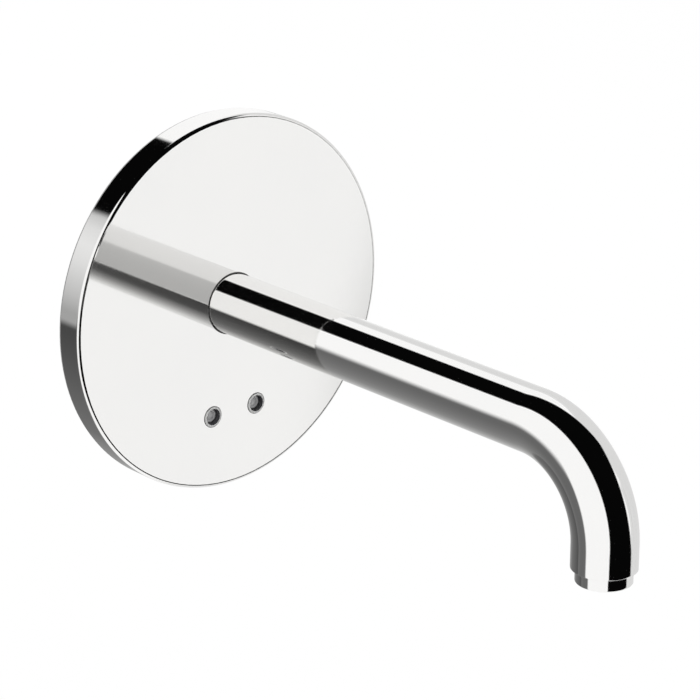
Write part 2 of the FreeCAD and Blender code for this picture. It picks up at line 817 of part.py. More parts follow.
def sensor_circuit_board():
    """Board with a few soldered parts between the housing's posts."""
    width = f"{HOUSING_WIDTH} - 2 * housing_wall - 2 * board_gap"
    height = "housing_height - 2 * housing_wall - 2 * board_gap"
    body = raised("sensor_circuit_board", BOARD_BACK, "board_thickness", [rectangle(width, height)],
                  at=("0", "0", "-sensor_drop"))
    add(body, BOARD_FRONT, "optic_base_height", [rectangle("optic_base_diameter", "optic_base_diameter")])
    hole = "cover_screw_radius + loose_gap"
    cut(body, BOARD_BACK, "board_thickness", rounds=[(hole, across, "0") for across in COVER_SCREW_PLACES])
    node("sensor_circuit_board", body)


def screw(name, head_radius, head_height, shank_radius, length, at, turn):
    """A plain screw whose head stands on its own zero height and whose shank points down."""
    return spun(name, [
        ("0", f"-({length})"),
        (shank_radius, f"-({length})"),
        (shank_radius, "0"),
        (head_radius, "0"),
        (head_radius, head_height),
        ("0", head_height),
    ], at, turn)


def sensor_cover_screws():
    """Two screws through the cover and the board into the housing's posts."""
    away = Rotation(Vector(1, 0, 0), -90)
    screws = [
        screw("sensor_cover_screw", "cover_screw_head_radius", "cover_screw_head_height", "cover_screw_radius",
              "cover_screw_length", (across, f"-{COVER_BACK}", "-sensor_drop"), away)
        for across in COVER_SCREW_PLACES
    ]
    group("sensor_cover_screws", screws)


def power_inlet():
    """Low-voltage socket on the back of the sensor housing, open towards the wall."""
    start = f"{COVER_BACK} - power_inlet_length"
    sides = rectangle("power_inlet_width", "power_inlet_height")
    body = raised("power_inlet", start, "power_inlet_length", [sides],
                  at=("0", "0", "-sensor_drop"))
    opening = rectangle("power_inlet_width - 2 * power_inlet_wall", "power_inlet_height - 2 * power_inlet_wall")
    cut(body, start, "power_inlet_length - power_inlet_wall", [opening])
    node("power_inlet", body)


def lead_grommet():
    """Rubber bush in the housing's side where the lead comes out."""
    inner = "(lead_diameter / 2 + running_gap)"
    outer = f"({inner} + grommet_wall)"
    flange = f"{outer} + grommet_flange_width"
    corners = [
        (inner, "-housing_wall"),
        (outer, "-housing_wall"),
        (outer, "0"),
        (flange, "0"),
        (flange, "grommet_flange_thickness"),
        (inner, "grommet_flange_thickness"),
    ]
    at = (HOUSING_SIDE, f"-{LEAD_DEPTH}", "-sensor_drop")
    node("lead_grommet", spun("lead_grommet", corners, at, RIGHT))


# Solenoid valve on top of the block: heights run up from its seat
SEAT = ("0", "solenoid_depth", "block_top - seat_depth")
PLUNGER_FOOT = "(loose_gap + centre_height + pilot_height + running_gap)"
PLUNGER_SHOULDER = f"({PLUNGER_FOOT} + plunger_tip_length)"
PLUNGER_TOP = f"({PLUNGER_SHOULDER} + plunger_length)"
ARMATURE_BORE_TOP = f"({PLUNGER_TOP} + plunger_spring_length)"
ARMATURE_RADIUS = "(plunger_diameter / 2 + loose_gap + armature_wall)"
ARMATURE_HOLE = f"({ARMATURE_RADIUS} + loose_gap)"
YOKE_BOTTOM = "(seat_depth + bonnet_thickness)"
COIL_BOTTOM = f"({YOKE_BOTTOM} + yoke_thickness)"
COIL_TOP = f"({COIL_BOTTOM} + coil_height)"
YOKE_TOP = f"({COIL_TOP} + yoke_thickness)"
TERMINAL_LEVEL = f"({COIL_BOTTOM} + coil_height / 2)"
TERMINAL_SIDE = "(coil_diameter / 2 + running_gap)"
TERMINAL_MIDDLE = f"({TERMINAL_SIDE} + terminal_width / 2)"
PLUG_HEIGHT = f"(block_top - seat_depth + {TERMINAL_LEVEL})"


def sensor_lead():
    """Cable in the room between plate and carrier, from the sensor housing up to the solenoid's plug."""
    body = new_body("sensor_lead", ("0", f"-{LEAD_DEPTH}", "0"), ROOM)
    path = draw(body, "XY_Plane", "path")
    start = f"{HOUSING_SIDE} - housing_wall"
    end = f"{TERMINAL_SIDE} + terminal_width - plug_wall"
    stops = [
        (start, "-sensor_drop"),
        ("lead_run_offset - lead_bend_radius", "-sensor_drop"),
        ("lead_run_offset", "-sensor_drop + lead_bend_radius"),
        ("lead_run_offset", f"{PLUG_HEIGHT} - lead_bend_radius"),
        ("lead_run_offset - lead_bend_radius", PLUG_HEIGHT),
        (end, PLUG_HEIGHT),
    ]
    spots = [Vector(measured(across), measured(up), 0) for across, up in stops]
    bend = measured("lead_bend_radius")
    for number in (0, 2, 4):
        line = path.addGeometry(Part.LineSegment(spots[number], spots[number + 1]), False)
        pin(path, line, 1, *stops[number])
        pin(path, line, 2, *stops[number + 1])
    for before, side in ((0, -1), (1, 1)):
        first, last = spots[2 * before + 1], spots[2 * before + 2]
        middle = Vector(measured("lead_run_offset - lead_bend_radius"), (last if side < 0 else first).y, 0)
        halfway = middle + Vector(bend, side * bend, 0) / math.sqrt(2)
        arc = path.addGeometry(Part.Arc(first, halfway, last), False)
        path.addConstraint(Sketcher.Constraint("Coincident", before, 2, arc, 1))
        path.addConstraint(Sketcher.Constraint("Coincident", arc, 2, before + 1, 1))
        bind(path, Sketcher.Constraint("Radius", arc, bend), "lead_bend_radius")
    section = draw(body, "YZ_Plane", "section", start)
    circle(section, half("lead_diameter"), "-sensor_drop", "0")
    pipe = body.newObject("PartDesign::AdditivePipe", "pipe")
    pipe.Profile = section
    pipe.Spine = path
    node("sensor_lead", body)


def solenoid_plug():
    """Plug on the lead's end, through the carrier onto the coil's pins."""
    back = "-(solenoid_depth - terminal_depth / 2 - loose_gap)"
    body = raised("solenoid_plug", back, f"plug_front - ({back})",
                  [rectangle("terminal_width", "terminal_height", TERMINAL_MIDDLE, PLUG_HEIGHT)])
    pins = [
        (
            "terminal_pin_radius + loose_gap",
            TERMINAL_MIDDLE,
            f"{PLUG_HEIGHT} + {side} * terminal_pin_spacing / 2",
        )
        for side in (-1, 1)
    ]
    cut(body, back, "terminal_pin_length + loose_gap", rounds=pins)
    side = f"{TERMINAL_SIDE} + terminal_width - plug_wall"
    hole = "lead_diameter / 2 + running_gap"
    cut(body, side, "plug_wall", rounds=[(hole, PLUG_HEIGHT, LEAD_DEPTH)], role="YZ_Plane")
    node("solenoid_plug", body)


def coil_terminals():
    """Terminal block on the coil's side with two pins towards the room."""
    front = "-(solenoid_depth - terminal_depth / 2)"
    body = raised("coil_terminals", f"{front} - terminal_depth", "terminal_depth",
                  [rectangle("terminal_width", "terminal_height", TERMINAL_MIDDLE, PLUG_HEIGHT)])
    pins = [
        ("terminal_pin_radius", TERMINAL_MIDDLE, f"{PLUG_HEIGHT} + {side} * terminal_pin_spacing / 2")
        for side in (-1, 1)
    ]
    add(body, front, "terminal_pin_length", rounds=pins)
    node("coil_terminals", body)


# Carrier plate and what fastens it
CLIP_ANGLES = [0, 120, 240]
BLOCK_SCREW_LEVELS = ["block_top - block_screw_inset", "-block_screw_drop"]
BLOCK_SCREW_PLACES = [
    (f"{side} * (block_width / 2 - block_screw_inset)", level)
    for side in (-1, 1)
    for level in BLOCK_SCREW_LEVELS
]


def carrier_plate():
    """Steel plate on the wall, under the visible plate, which carries the plate's clips and the valve."""
    middle_hole = ("nipple_thread_diameter / 2 + loose_gap", "0", "0")
    body = raised("carrier_plate", "0", "carrier_thickness",
                  rounds=[(CARRIER_RADIUS, "0", "0"), middle_hole])
    fixing = [
        (half("fixing_hole_diameter"), f"{side} * fixing_spacing / 2", f"{level} * fixing_spacing / 2")
        for side in (-1, 1)
        for level in (-1, 1)
    ]
    screw_hole = f"{half('block_screw_diameter')} + loose_gap"
    screws = [(screw_hole, across, up) for across, up in BLOCK_SCREW_PLACES]
    rivets = [
        (
            f"{half('rivet_diameter')} + running_gap",
            f"-{RIVET_CIRCLE} * sin({angle} deg)",
            f"{RIVET_CIRCLE} * cos({angle} deg)",
        )
        for angle in CLIP_ANGLES
    ]
    knob_window = (half("knob_window_diameter"), "0", "-cartridge_drop")
    notch_side = f"({HOUSING_SIDE} + sensor_notch_gap)"
    notch_top = "sensor_notch_rise - sensor_drop"
    below = f"-({CARRIER_RADIUS} + loose_gap)"
    windows = [
        [
            (f"-{notch_side}", below),
            (notch_side, below),
            (notch_side, notch_top),
            (f"-{notch_side}", notch_top),
        ],
        rectangle("terminal_width + plug_window_gap", "terminal_height + plug_window_gap",
                  TERMINAL_MIDDLE, PLUG_HEIGHT),
    ]
    cut(body, "0", "carrier_thickness", windows, fixing + screws + rivets + [knob_window])
    node("carrier_plate", body)


def retaining_clips():
    """Three spring clips riveted to the carrier, which grip the inside of the plate's rim."""
    rim = f"{PLATE_RADIUS} - plate_wall - clip_gap"
    tip = f"sqrt(({rim}) ^ 2 - (clip_width / 2) ^ 2)"
    shoulder = f"({tip} - clip_swell)"
    top = f"({PLATE_BACK} - clip_top_gap)"
    foot = f"({CARRIER_RADIUS} - clip_foot_inset)"
    low = CARRIER_TOP
    middle = f"(({low}) + {top}) / 2"
    profile = [
        (foot, low),
        (shoulder, low),
        (tip, middle),
        (shoulder, top),
        (f"{shoulder} - clip_thickness", top),
        (f"{tip} - clip_thickness", middle),
        (f"{shoulder} - clip_thickness", f"{low} + clip_thickness"),
        (foot, f"{low} + clip_thickness"),
    ]
    clips = []
    for angle in CLIP_ANGLES:
        body = new_body("retaining_clip", ORIGIN, turned_about_axis(angle))
        add(body, "-clip_width / 2", "clip_width", [profile], role="YZ_Plane")
        hole = f"{half('rivet_diameter')} + running_gap"
        cut(body, low, "clip_thickness", rounds=[(hole, "0", RIVET_CIRCLE)])
        clips.append(body)
    group("retaining_clips", clips)


def clip_rivets():
    """Rivets that hold the clips on the carrier."""
    rivets = []
    for angle in CLIP_ANGLES:
        at = (
            f"-{RIVET_CIRCLE} * sin({angle} deg)",
            f"-({CARRIER_TOP} + clip_thickness)",
            f"{RIVET_CIRCLE} * cos({angle} deg)",
        )
        rivets.append(screw("clip_rivet", half("rivet_head_diameter"), "rivet_head_height", half("rivet_diameter"),
                            f"{CARRIER_TOP} + clip_thickness", at, ROOM))
    group("clip_rivets", rivets)


def block_screws():
    """Four screws from the carrier into the valve block."""
    screws = [
        screw("block_screw", half("block_screw_head_diameter"), "block_screw_head_height",
              half("block_screw_diameter"), "block_screw_length", (across, f"-{CARRIER_TOP}", up), ROOM)
        for across, up in BLOCK_SCREW_PLACES
    ]
    group("block_screws", screws)


BONNET_SCREW_SPOTS = [
    (f"{side} * (bonnet_width / 2 - bonnet_screw_inset)",
     f"solenoid_depth + {level} * (bonnet_width / 2 - bonnet_screw_inset)")
    for side in (-1, 1)
    for level in (-1, 1)
]
CARTRIDGE_RADIUS = "cartridge_diameter / 2"


def valve_block():
    """Brass body behind the wall plane with the water's channels drilled from its faces."""
    side = half("block_width")
    corners = [
        (f"-{side}", "-block_bottom"),
        (side, "-block_bottom"),
        (side, "block_top"),
        (f"-{side}", "block_top"),
    ]
    body = raised("valve_block", "-block_depth", "block_depth", [corners])

    def back_edges(shape):
        depth = -measured("block_depth")
        return [
            f"Edge{number}"
            for number, edge in enumerate(shape.Edges, start=1)
            if all(abs(vertex.Z - depth) < SAME_PLACE for vertex in edge.Vertexes)
        ]

    eased(body, "Chamfer", "block_edge", back_edges)
    # Front: nipple thread, outlet passage, cartridge bore with its ports, screw holes
    cut(body, "0", "nipple_thread_length", rounds=[("nipple_thread_diameter / 2", "0", "0")], forward=False)
    outlet_depth = "solenoid_depth + seat_hole / 2 + outlet_end_gap"
    cut(body, "0", outlet_depth, rounds=[(half("outlet_bore"), "0", "0")], forward=False)
    cut(body, "0", "cartridge_depth", rounds=[(f"{CARTRIDGE_RADIUS} + thread_gap", "0", "-cartridge_drop")],
        forward=False)
    ports = [("port_radius", f"{side_sign} * port_offset", "-cartridge_drop") for side_sign in (-1, 1)]
    channel_depth = "(inlet_depth + inlet_passage / 2)"
    cut(body, "0", channel_depth, rounds=ports, forward=False)
    riser_depth = "(solenoid_depth + (seat_groove_diameter + seat_ring_diameter) / 4)"
    mixed_port = ("mixed_port_radius", "0", "-cartridge_drop")
    cut(body, "0", f"{riser_depth} + riser_radius / 2", rounds=[mixed_port],
        forward=False)
    screw_hole = "block_screw_diameter / 2 + thread_gap"
    screw_holes = [(screw_hole, across, up) for across, up in BLOCK_SCREW_PLACES]
    cut(body, "0", "block_screw_length", rounds=screw_holes,
        forward=False)
    # Sides: inlet threads and the channels to the cartridge's ports
    for sign, inwards in ((1, False), (-1, True)):
        face = f"{sign} * block_width / 2"
        thread = [(f"{half('inlet_screw_in_diameter')} + thread_gap", "-cartridge_drop", "-inlet_depth")]
        cut(body, face, "inlet_screw_in_length + inlet_screw_in_gap", rounds=thread, role="YZ_Plane",
            forward=inwards)
        channel = [("port_radius", "-cartridge_drop", f"-{channel_depth}")]
        cut(body, face, "block_width / 2 - port_offset + port_radius / 2", rounds=channel, role="YZ_Plane",
            forward=inwards)
    # Top: solenoid bore, annular groove, outlet hole, riser from the cartridge, screw holes
    top = "-block_top"
    spot = ("0", "-solenoid_depth")
    cut(body, top, "seat_depth", rounds=[(half("seat_bore"), *spot)], role="XZ_Plane")
    groove = [(half("seat_groove_diameter"), *spot), (half("seat_ring_diameter"), *spot)]
    cut(body, f"{top} + seat_depth", "seat_groove_depth", rounds=groove, role="XZ_Plane")
    cut(body, top, "block_top", rounds=[(half("seat_hole"), *spot)], role="XZ_Plane")
    cut(body, f"{top} + seat_depth", "block_top - seat_depth + cartridge_drop",
        rounds=[("riser_radius", "0", f"-{riser_depth}")], role="XZ_Plane")
    bonnet_hole = "bonnet_screw_diameter / 2 + thread_gap"
    cut(body, top, "bonnet_screw_length", role="XZ_Plane",
        rounds=[(bonnet_hole, across, f"-({depth})") for across, depth in BONNET_SCREW_SPOTS])
    node("valve_block", body)


# Water inlets on both sides of the block: heights run outwards from its side face
INLET_SIDES = {"hot": ("-block_width / 2", LEFT), "cold": ("block_width / 2", RIGHT)}
INLET_END = "(inlet_key_thickness + inlet_thread_length)"
CAGE_START = "-check_cage_sink"
CAGE_END = f"({CAGE_START} + check_cage_length)"
CAGE_RADIUS = "(inlet_bore / 2 - running_gap)"
HUB_START = f"({CAGE_START} + check_hub_offset)"
HUB_END = f"({HUB_START} + check_hub_thickness)"
SEAT_FACE = f"({CAGE_END} - check_seat_thickness)"
DISC_FRONT = f"({SEAT_FACE} - loose_gap)"
DISC_BACK = f"({DISC_FRONT} - check_disc_thickness)"


def inlet_place(side):
    across, turn = INLET_SIDES[side]
    return (across, "inlet_depth", "-cartridge_drop"), turn


def inlet_nipple(side):
    """Threaded connection for a supply hose, screwed into the block."""
    at, turn = inlet_place(side)
    name = f"{side}_inlet_nipple"
    thread = half("inlet_thread_diameter")
    screwed = half("inlet_screw_in_diameter")
    body = spun(name, [
        (half("inlet_passage"), "-inlet_screw_in_length"),
        (screwed, "-inlet_screw_in_length"),
        (screwed, "0"),
        (thread, "0"),
        (thread, f"{INLET_END} - inlet_thread_edge"),
        (f"{thread} - inlet_thread_edge", INLET_END),
        (half("inlet_bore"), INLET_END),
        (half("inlet_bore"), CAGE_START),
        (half("inlet_passage"), CAGE_START),
    ], at, turn)
    inside = (f"{thread} - inlet_thread_edge", "0", "0")
    add(body, "0", "inlet_key_thickness", [hexagon("inlet_key")], [inside])
    node(name, body)


def check_cage(side):
    """Cage of a non-return valve: seat at the outer end, slotted hub at the inner end."""
    at, turn = inlet_place(side)
    inner = f"({CAGE_RADIUS} - check_cage_wall)"
    hub_hole = "check_stem_radius + loose_gap"
    cage = spun("check_cage", [
        (hub_hole, HUB_START),
        (inner, HUB_START),
        (inner, CAGE_START),
        (CAGE_RADIUS, CAGE_START),
        (CAGE_RADIUS, CAGE_END),
        (half("check_seat_bore"), CAGE_END),
        (half("check_seat_bore"), SEAT_FACE),
        (inner, SEAT_FACE),
        (inner, HUB_END),
        (hub_hole, HUB_END),
    ], at, turn)
    slots = [
        (
            "check_slot_radius",
            f"check_slot_circle_radius * cos({angle} deg)",
            f"check_slot_circle_radius * sin({angle} deg)",
        )
        for angle in range(0, 360, 60)
    ]
    cut(cage, HUB_START, "check_hub_thickness", rounds=slots)
    return cage


def check_poppet(side):
    """Moving disc of a non-return valve on its stem, and the spring that closes it."""
    at, turn = inlet_place(side)
    poppet = spun(f"{side}_check_poppet", [
        ("0", f"{HUB_START} - check_stem_show"),
        ("check_stem_radius", f"{HUB_START} - check_stem_show"),
        ("check_stem_radius", DISC_BACK),
        ("check_disc_radius", DISC_BACK),
        ("check_disc_radius", DISC_FRONT),
        ("0", DISC_FRONT),
    ], at, turn)
    node(f"{side}_check_poppet", poppet)
    spring = ring(f"{side}_check_spring", "check_spring_radius - check_spring_wire", "check_spring_radius",
                  HUB_END, DISC_BACK, at, turn)
    node(f"{side}_check_spring", spring)


def inlet_filter(side):
    """Strainer cup in front of the non-return valve."""
    at, turn = inlet_place(side)
    body = spun("inlet_filter", [
        ("0", CAGE_END),
        (CAGE_RADIUS, CAGE_END),
        (CAGE_RADIUS, f"{CAGE_END} + filter_rim_height"),
        (f"{CAGE_RADIUS} - filter_rim_width", f"{CAGE_END} + filter_rim_height"),
        (f"{CAGE_RADIUS} - filter_rim_width", f"{CAGE_END} + filter_thickness"),
        ("0", f"{CAGE_END} + filter_thickness"),
    ], at, turn)
    limit = f"{CAGE_RADIUS} - filter_rim_width - filter_hole_radius"
    holes = [("filter_hole_radius", across, up) for across, up in grid("filter_hole_pitch", limit)]
    cut(body, CAGE_END, "filter_thickness", rounds=holes)
    return body


# Mixing cartridge in the block's front: heights run towards the room from the wall plane
CARTRIDGE_AT = ("0", "0", "-cartridge_drop")
SEAL_FRONT = "(-cartridge_depth + cartridge_seal_thickness)"
FIXED_DISC_FRONT = f"({SEAL_FRONT} + disc_thickness)"
MIXING_DISC_BACK = f"({FIXED_DISC_FRONT} + disc_gap)"
MIXING_DISC_FRONT = f"({MIXING_DISC_BACK} + disc_thickness)"
STEM_SHOULDER = f"({MIXING_DISC_FRONT} + stem_flange_thickness)"
CARTRIDGE_FRONT = "(-cartridge_nut_recess - cartridge_nut_thickness)"
CARTRIDGE_CEILING = f"({CARTRIDGE_FRONT} - cartridge_top_thickness)"
CARTRIDGE_INSIDE = "(cartridge_diameter / 2 - cartridge_wall)"
STEM_RADIUS = half("stem_diameter")
KNOB_BACK = f"({CARRIER_TOP} + knob_gap)"
KNOB_FRONT = f"({PLATE_BACK} - knob_gap)"


def mixing_cartridge():
    """Seal, two ceramic discs, body, clamping ring, stem and the knob that presets the temperature."""
    seal = ring("cartridge_seal", "0", CARTRIDGE_RADIUS, "-cartridge_depth", SEAL_FRONT, CARTRIDGE_AT)
    ports = [("port_radius", f"{side} * port_offset", "0") for side in (-1, 1)]
    ports.append(("mixed_port_radius", "0", "0"))
    cut(seal, "-cartridge_depth", "cartridge_seal_thickness", rounds=ports)
    node("cartridge_seal", seal)
    disc_radius = f"{CARTRIDGE_INSIDE} - running_gap"
    fixed = ring("fixed_disc", "0", disc_radius, SEAL_FRONT, FIXED_DISC_FRONT, CARTRIDGE_AT)
    cut(fixed, SEAL_FRONT, "disc_thickness", rounds=ports)
    node("fixed_disc", fixed)
    moving = ring("mixing_disc", "0", f"{CARTRIDGE_INSIDE} - disc_side_gap", MIXING_DISC_BACK,
                  MIXING_DISC_FRONT, CARTRIDGE_AT)
    trough = rectangle("2 * port_offset", "2 * port_radius")
    cut(moving, MIXING_DISC_BACK, "disc_thickness / 2", [trough])
    node("mixing_disc", moving)
    body = spun("cartridge_body", [
        (CARTRIDGE_INSIDE, SEAL_FRONT),
        (CARTRIDGE_RADIUS, SEAL_FRONT),
        (CARTRIDGE_RADIUS, CARTRIDGE_FRONT),
        (half("cartridge_neck_diameter"), CARTRIDGE_FRONT),
        (half("cartridge_neck_diameter"), "0"),
        (f"{STEM_RADIUS} + running_gap", "0"),
        (f"{STEM_RADIUS} + running_gap", CARTRIDGE_CEILING),
        (CARTRIDGE_INSIDE, CARTRIDGE_CEILING),
    ], CARTRIDGE_AT)
    node("cartridge_body", body)
    nut = ring("cartridge_nut", "cartridge_neck_diameter / 2 + loose_gap", CARTRIDGE_RADIUS, CARTRIDGE_FRONT,
               "-cartridge_nut_recess", CARTRIDGE_AT)
    node("cartridge_nut", nut)
    groove = f"({STEM_RADIUS} - stem_seal_section)"
    groove_place = f"({CARTRIDGE_CEILING} + cartridge_top_thickness)"
    groove_half = half("stem_groove_width")
    stem = spun("mixing_stem", [
        ("0", MIXING_DISC_FRONT),
        (f"{CARTRIDGE_INSIDE} - disc_side_gap", MIXING_DISC_FRONT),
        (f"{CARTRIDGE_INSIDE} - disc_side_gap", STEM_SHOULDER),
        (STEM_RADIUS, STEM_SHOULDER),
        (STEM_RADIUS, f"{groove_place} - {groove_half}"),
        (groove, f"{groove_place} - {groove_half}"),
        (groove, f"{groove_place} + {groove_half}"),
        (STEM_RADIUS, f"{groove_place} + {groove_half}"),
        (STEM_RADIUS, f"{KNOB_FRONT} - knob_slot_depth"),
        ("0", f"{KNOB_FRONT} - knob_slot_depth"),
    ], CARTRIDGE_AT)
    node("mixing_stem", stem)
    at = ("0", f"-{groove_place}", "-cartridge_drop")
    node("stem_seal", o_ring("stem_seal", groove, "stem_seal_section - seal_gap", at, ROOM))
    knob = spun("temperature_knob", [
        (f"{STEM_RADIUS} + braze_gap", KNOB_BACK),
        (half("knob_diameter"), KNOB_BACK),
        (half("knob_diameter"), KNOB_FRONT),
        ("0", KNOB_FRONT),
        ("0", f"{KNOB_FRONT} - knob_slot_depth"),
        (f"{STEM_RADIUS} + braze_gap", f"{KNOB_FRONT} - knob_slot_depth"),
    ], CARTRIDGE_AT)
    cut(knob, f"{KNOB_FRONT} - knob_slot_depth / 2", "knob_slot_depth / 2",
        [rectangle("knob_slot_width", "knob_diameter")])
    node("temperature_knob", knob)


def solenoid_valve():
    """Diaphragm and its centre, plunger in its tube, return spring, coil in its yoke, nut and bonnet."""
    rim = "(seat_bore / 2 - loose_gap)"
    web = half("seat_groove_diameter")
    web_bottom = "diaphragm_rim_thickness - diaphragm_web_thickness"
    centre_hole = "(centre_diameter / 2 + centre_side_gap)"
    diaphragm = spun("valve_diaphragm", [
        (centre_hole, web_bottom),
        (web, web_bottom),
        (web, "0"),
        (rim, "0"),
        (rim, "diaphragm_rim_thickness"),
        (centre_hole, "diaphragm_rim_thickness"),
    ], SEAT, UP)
    node("valve_diaphragm", diaphragm)
    centre = spun("diaphragm_centre", [
        ("0", "loose_gap"),
        (half("centre_diameter"), "loose_gap"),
        (half("centre_diameter"), "loose_gap + centre_height"),
        ("pilot_radius", "loose_gap + centre_height"),
        ("pilot_radius", "loose_gap + centre_height + pilot_height"),
        ("0", "loose_gap + centre_height + pilot_height"),
    ], SEAT, UP)
    node("diaphragm_centre", centre)
    plunger = spun("plunger", [
        ("0", PLUNGER_FOOT),
        ("pilot_radius", PLUNGER_FOOT),
        ("pilot_radius", PLUNGER_SHOULDER),
        (half("plunger_diameter"), PLUNGER_SHOULDER),
        (half("plunger_diameter"), PLUNGER_TOP),
        ("0", PLUNGER_TOP),
    ], SEAT, UP)
    node("plunger", plunger)
    spring = ring("plunger_spring", "plunger_spring_radius - plunger_spring_wire", "plunger_spring_radius",
                  PLUNGER_TOP, ARMATURE_BORE_TOP, SEAT, UP)
    node("plunger_spring", spring)
    room = f"{half('centre_diameter')} + armature_wall"
    bore = "plunger_diameter / 2 + loose_gap"
    tube = spun("armature_tube", [
        (room, "diaphragm_rim_thickness"),
        (rim, "diaphragm_rim_thickness"),
        (rim, "seat_depth"),
        (ARMATURE_RADIUS, "seat_depth"),
        (ARMATURE_RADIUS, f"{ARMATURE_BORE_TOP} + armature_cap"),
        ("0", f"{ARMATURE_BORE_TOP} + armature_cap"),
        ("0", ARMATURE_BORE_TOP),
        (bore, ARMATURE_BORE_TOP),
        (bore, PLUNGER_SHOULDER),
        (room, PLUNGER_SHOULDER),
    ], SEAT, UP)
    node("armature_tube", tube)
    square = rectangle("bonnet_width", "bonnet_width")
    middle_hole = (ARMATURE_HOLE, "0", "0")
    bonnet = raised("bonnet_plate", "seat_depth", "bonnet_thickness", [square], [middle_hole], SEAT, UP)
    holes = [
        ("bonnet_screw_diameter / 2 + loose_gap", across, f"{depth} - solenoid_depth")
        for across, depth in BONNET_SCREW_SPOTS
    ]
    cut(bonnet, "seat_depth", "bonnet_thickness", rounds=holes)
    node("bonnet_plate", bonnet)
    screws = [
        screw("bonnet_screw", half("bonnet_screw_head_diameter"), "bonnet_screw_head_height",
              half("bonnet_screw_diameter"), "bonnet_screw_length", (across, depth, "block_top + bonnet_thickness"),
              UP)
        for across, depth in BONNET_SCREW_SPOTS
    ]
    group("bonnet_screws", screws)
    coil = ring("solenoid_coil", ARMATURE_HOLE, half("coil_diameter"), COIL_BOTTOM, COIL_TOP, SEAT, UP)
    node("solenoid_coil", coil)
    yoke = new_body("solenoid_yoke", SEAT, UP)
    reach = half("coil_diameter")
    outside = f"{reach} + loose_gap + yoke_thickness"
    add(yoke, "-yoke_width / 2", "yoke_width", [[
        (f"-({outside})", YOKE_BOTTOM),
        (reach, YOKE_BOTTOM),
        (reach, COIL_BOTTOM),
        (f"-({reach} + loose_gap)", COIL_BOTTOM),
        (f"-({reach} + loose_gap)", COIL_TOP),
        (reach, COIL_TOP),
        (reach, YOKE_TOP),
        (f"-({outside})", YOKE_TOP),
    ]], role="XZ_Plane")
    cut(yoke, YOKE_BOTTOM, f"{YOKE_TOP} - {YOKE_BOTTOM}", rounds=[(ARMATURE_HOLE, "0", "0")])
    node("solenoid_yoke", yoke)
    nut = raised("coil_nut", YOKE_TOP, "coil_nut_height", [hexagon("coil_nut_key")],
                 [(f"{ARMATURE_RADIUS} + thread_gap", "0", "0")], SEAT, UP)
    node("coil_nut", nut)


# Build every piece
escutcheon_plate()
wall_gasket()
spout_tube()
spout_seal_ring()
spout_socket()
spout_grub_screw()
outlet_nipple()
nipple_seals()
aerator_seat_ring()
aerator_seal()
aerator_housing()
aerator_insert()
aerator_sieve()
sensor_bezel("emitter_bezel", SENSOR_PLACES[0])
sensor_bezel("receiver_bezel", SENSOR_PLACES[1])
sensor_lens("emitter_lens", SENSOR_PLACES[0])
sensor_lens("receiver_lens", SENSOR_PLACES[1])
optic("infrared_emitter", SENSOR_PLACES[0])
optic("infrared_receiver", SENSOR_PLACES[1])
sensor_housing()
sensor_housing_cover()
sensor_circuit_board()
sensor_cover_screws()
power_inlet()
lead_grommet()
sensor_lead()
solenoid_plug()
coil_terminals()
carrier_plate()
retaining_clips()
clip_rivets()
block_screws()
valve_block()
for inlet_side in INLET_SIDES:
    inlet_nipple(inlet_side)
    check_poppet(inlet_side)
group("check_cages", [check_cage(inlet_side) for inlet_side in INLET_SIDES])
group("inlet_filters", [inlet_filter(inlet_side) for inlet_side in INLET_SIDES])
mixing_cartridge()
solenoid_valve()
doc.recompute()

# Nothing is written unless every feature built, every cut removed material and every shape is sound
for item in doc.Objects:
    if "Invalid" in item.State or "Error" in item.State:
        raise RuntimeError(f"{item.Label} did not build: {item.State}")
for pocket in cuts:
    before = pocket.BaseFeature.Shape.Volume
    if pocket.Shape.Volume > before - LEAST_CUT:
        raise RuntimeError(f"{pocket.Label} of {pocket.getParentGeoFeatureGroup().Label} cuts nothing")
for name, thing in nodes.items():
    if thing.Shape.isNull() or not thing.Shape.isValid() or not thing.Shape.Solids:
        raise RuntimeError(f"{name} has no sound solid")

os.makedirs("parts", exist_ok=True)
for name, thing in nodes.items():
    thing.Shape.exportStep(f"parts/{name}.step")
print(f"{len(nodes)} nodes written")
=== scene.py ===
"""Looks of the electronic basin mixer, laid out as a Blender add-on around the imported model.

Everything is in metres in the model's own frame: the origin lies on the plate's axis in the wall's surface,
+Z is up, -Y points into the room along the spout and +X is the right-hand side for someone facing the plate.
"""

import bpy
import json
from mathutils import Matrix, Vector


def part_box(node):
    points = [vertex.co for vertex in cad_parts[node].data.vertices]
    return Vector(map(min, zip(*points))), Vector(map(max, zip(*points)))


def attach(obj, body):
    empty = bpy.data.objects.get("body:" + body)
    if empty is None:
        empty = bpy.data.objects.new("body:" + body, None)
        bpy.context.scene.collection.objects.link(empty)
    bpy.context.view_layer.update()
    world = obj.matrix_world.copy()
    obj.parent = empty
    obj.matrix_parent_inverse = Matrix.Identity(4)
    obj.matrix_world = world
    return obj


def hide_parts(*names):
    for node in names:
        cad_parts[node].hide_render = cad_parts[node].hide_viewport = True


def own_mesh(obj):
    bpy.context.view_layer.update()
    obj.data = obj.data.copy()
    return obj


bl_info = {
    "name": "Electronic Basin Mixer",
    "version": (1, 0, 0),
    "blender": (4, 5, 0),
    "location": "3D View > Sidebar > Basin Mixer",
    "description": "Models and finishes the pieces of a wall-mounted sensor tap",
    "category": "Object",
}

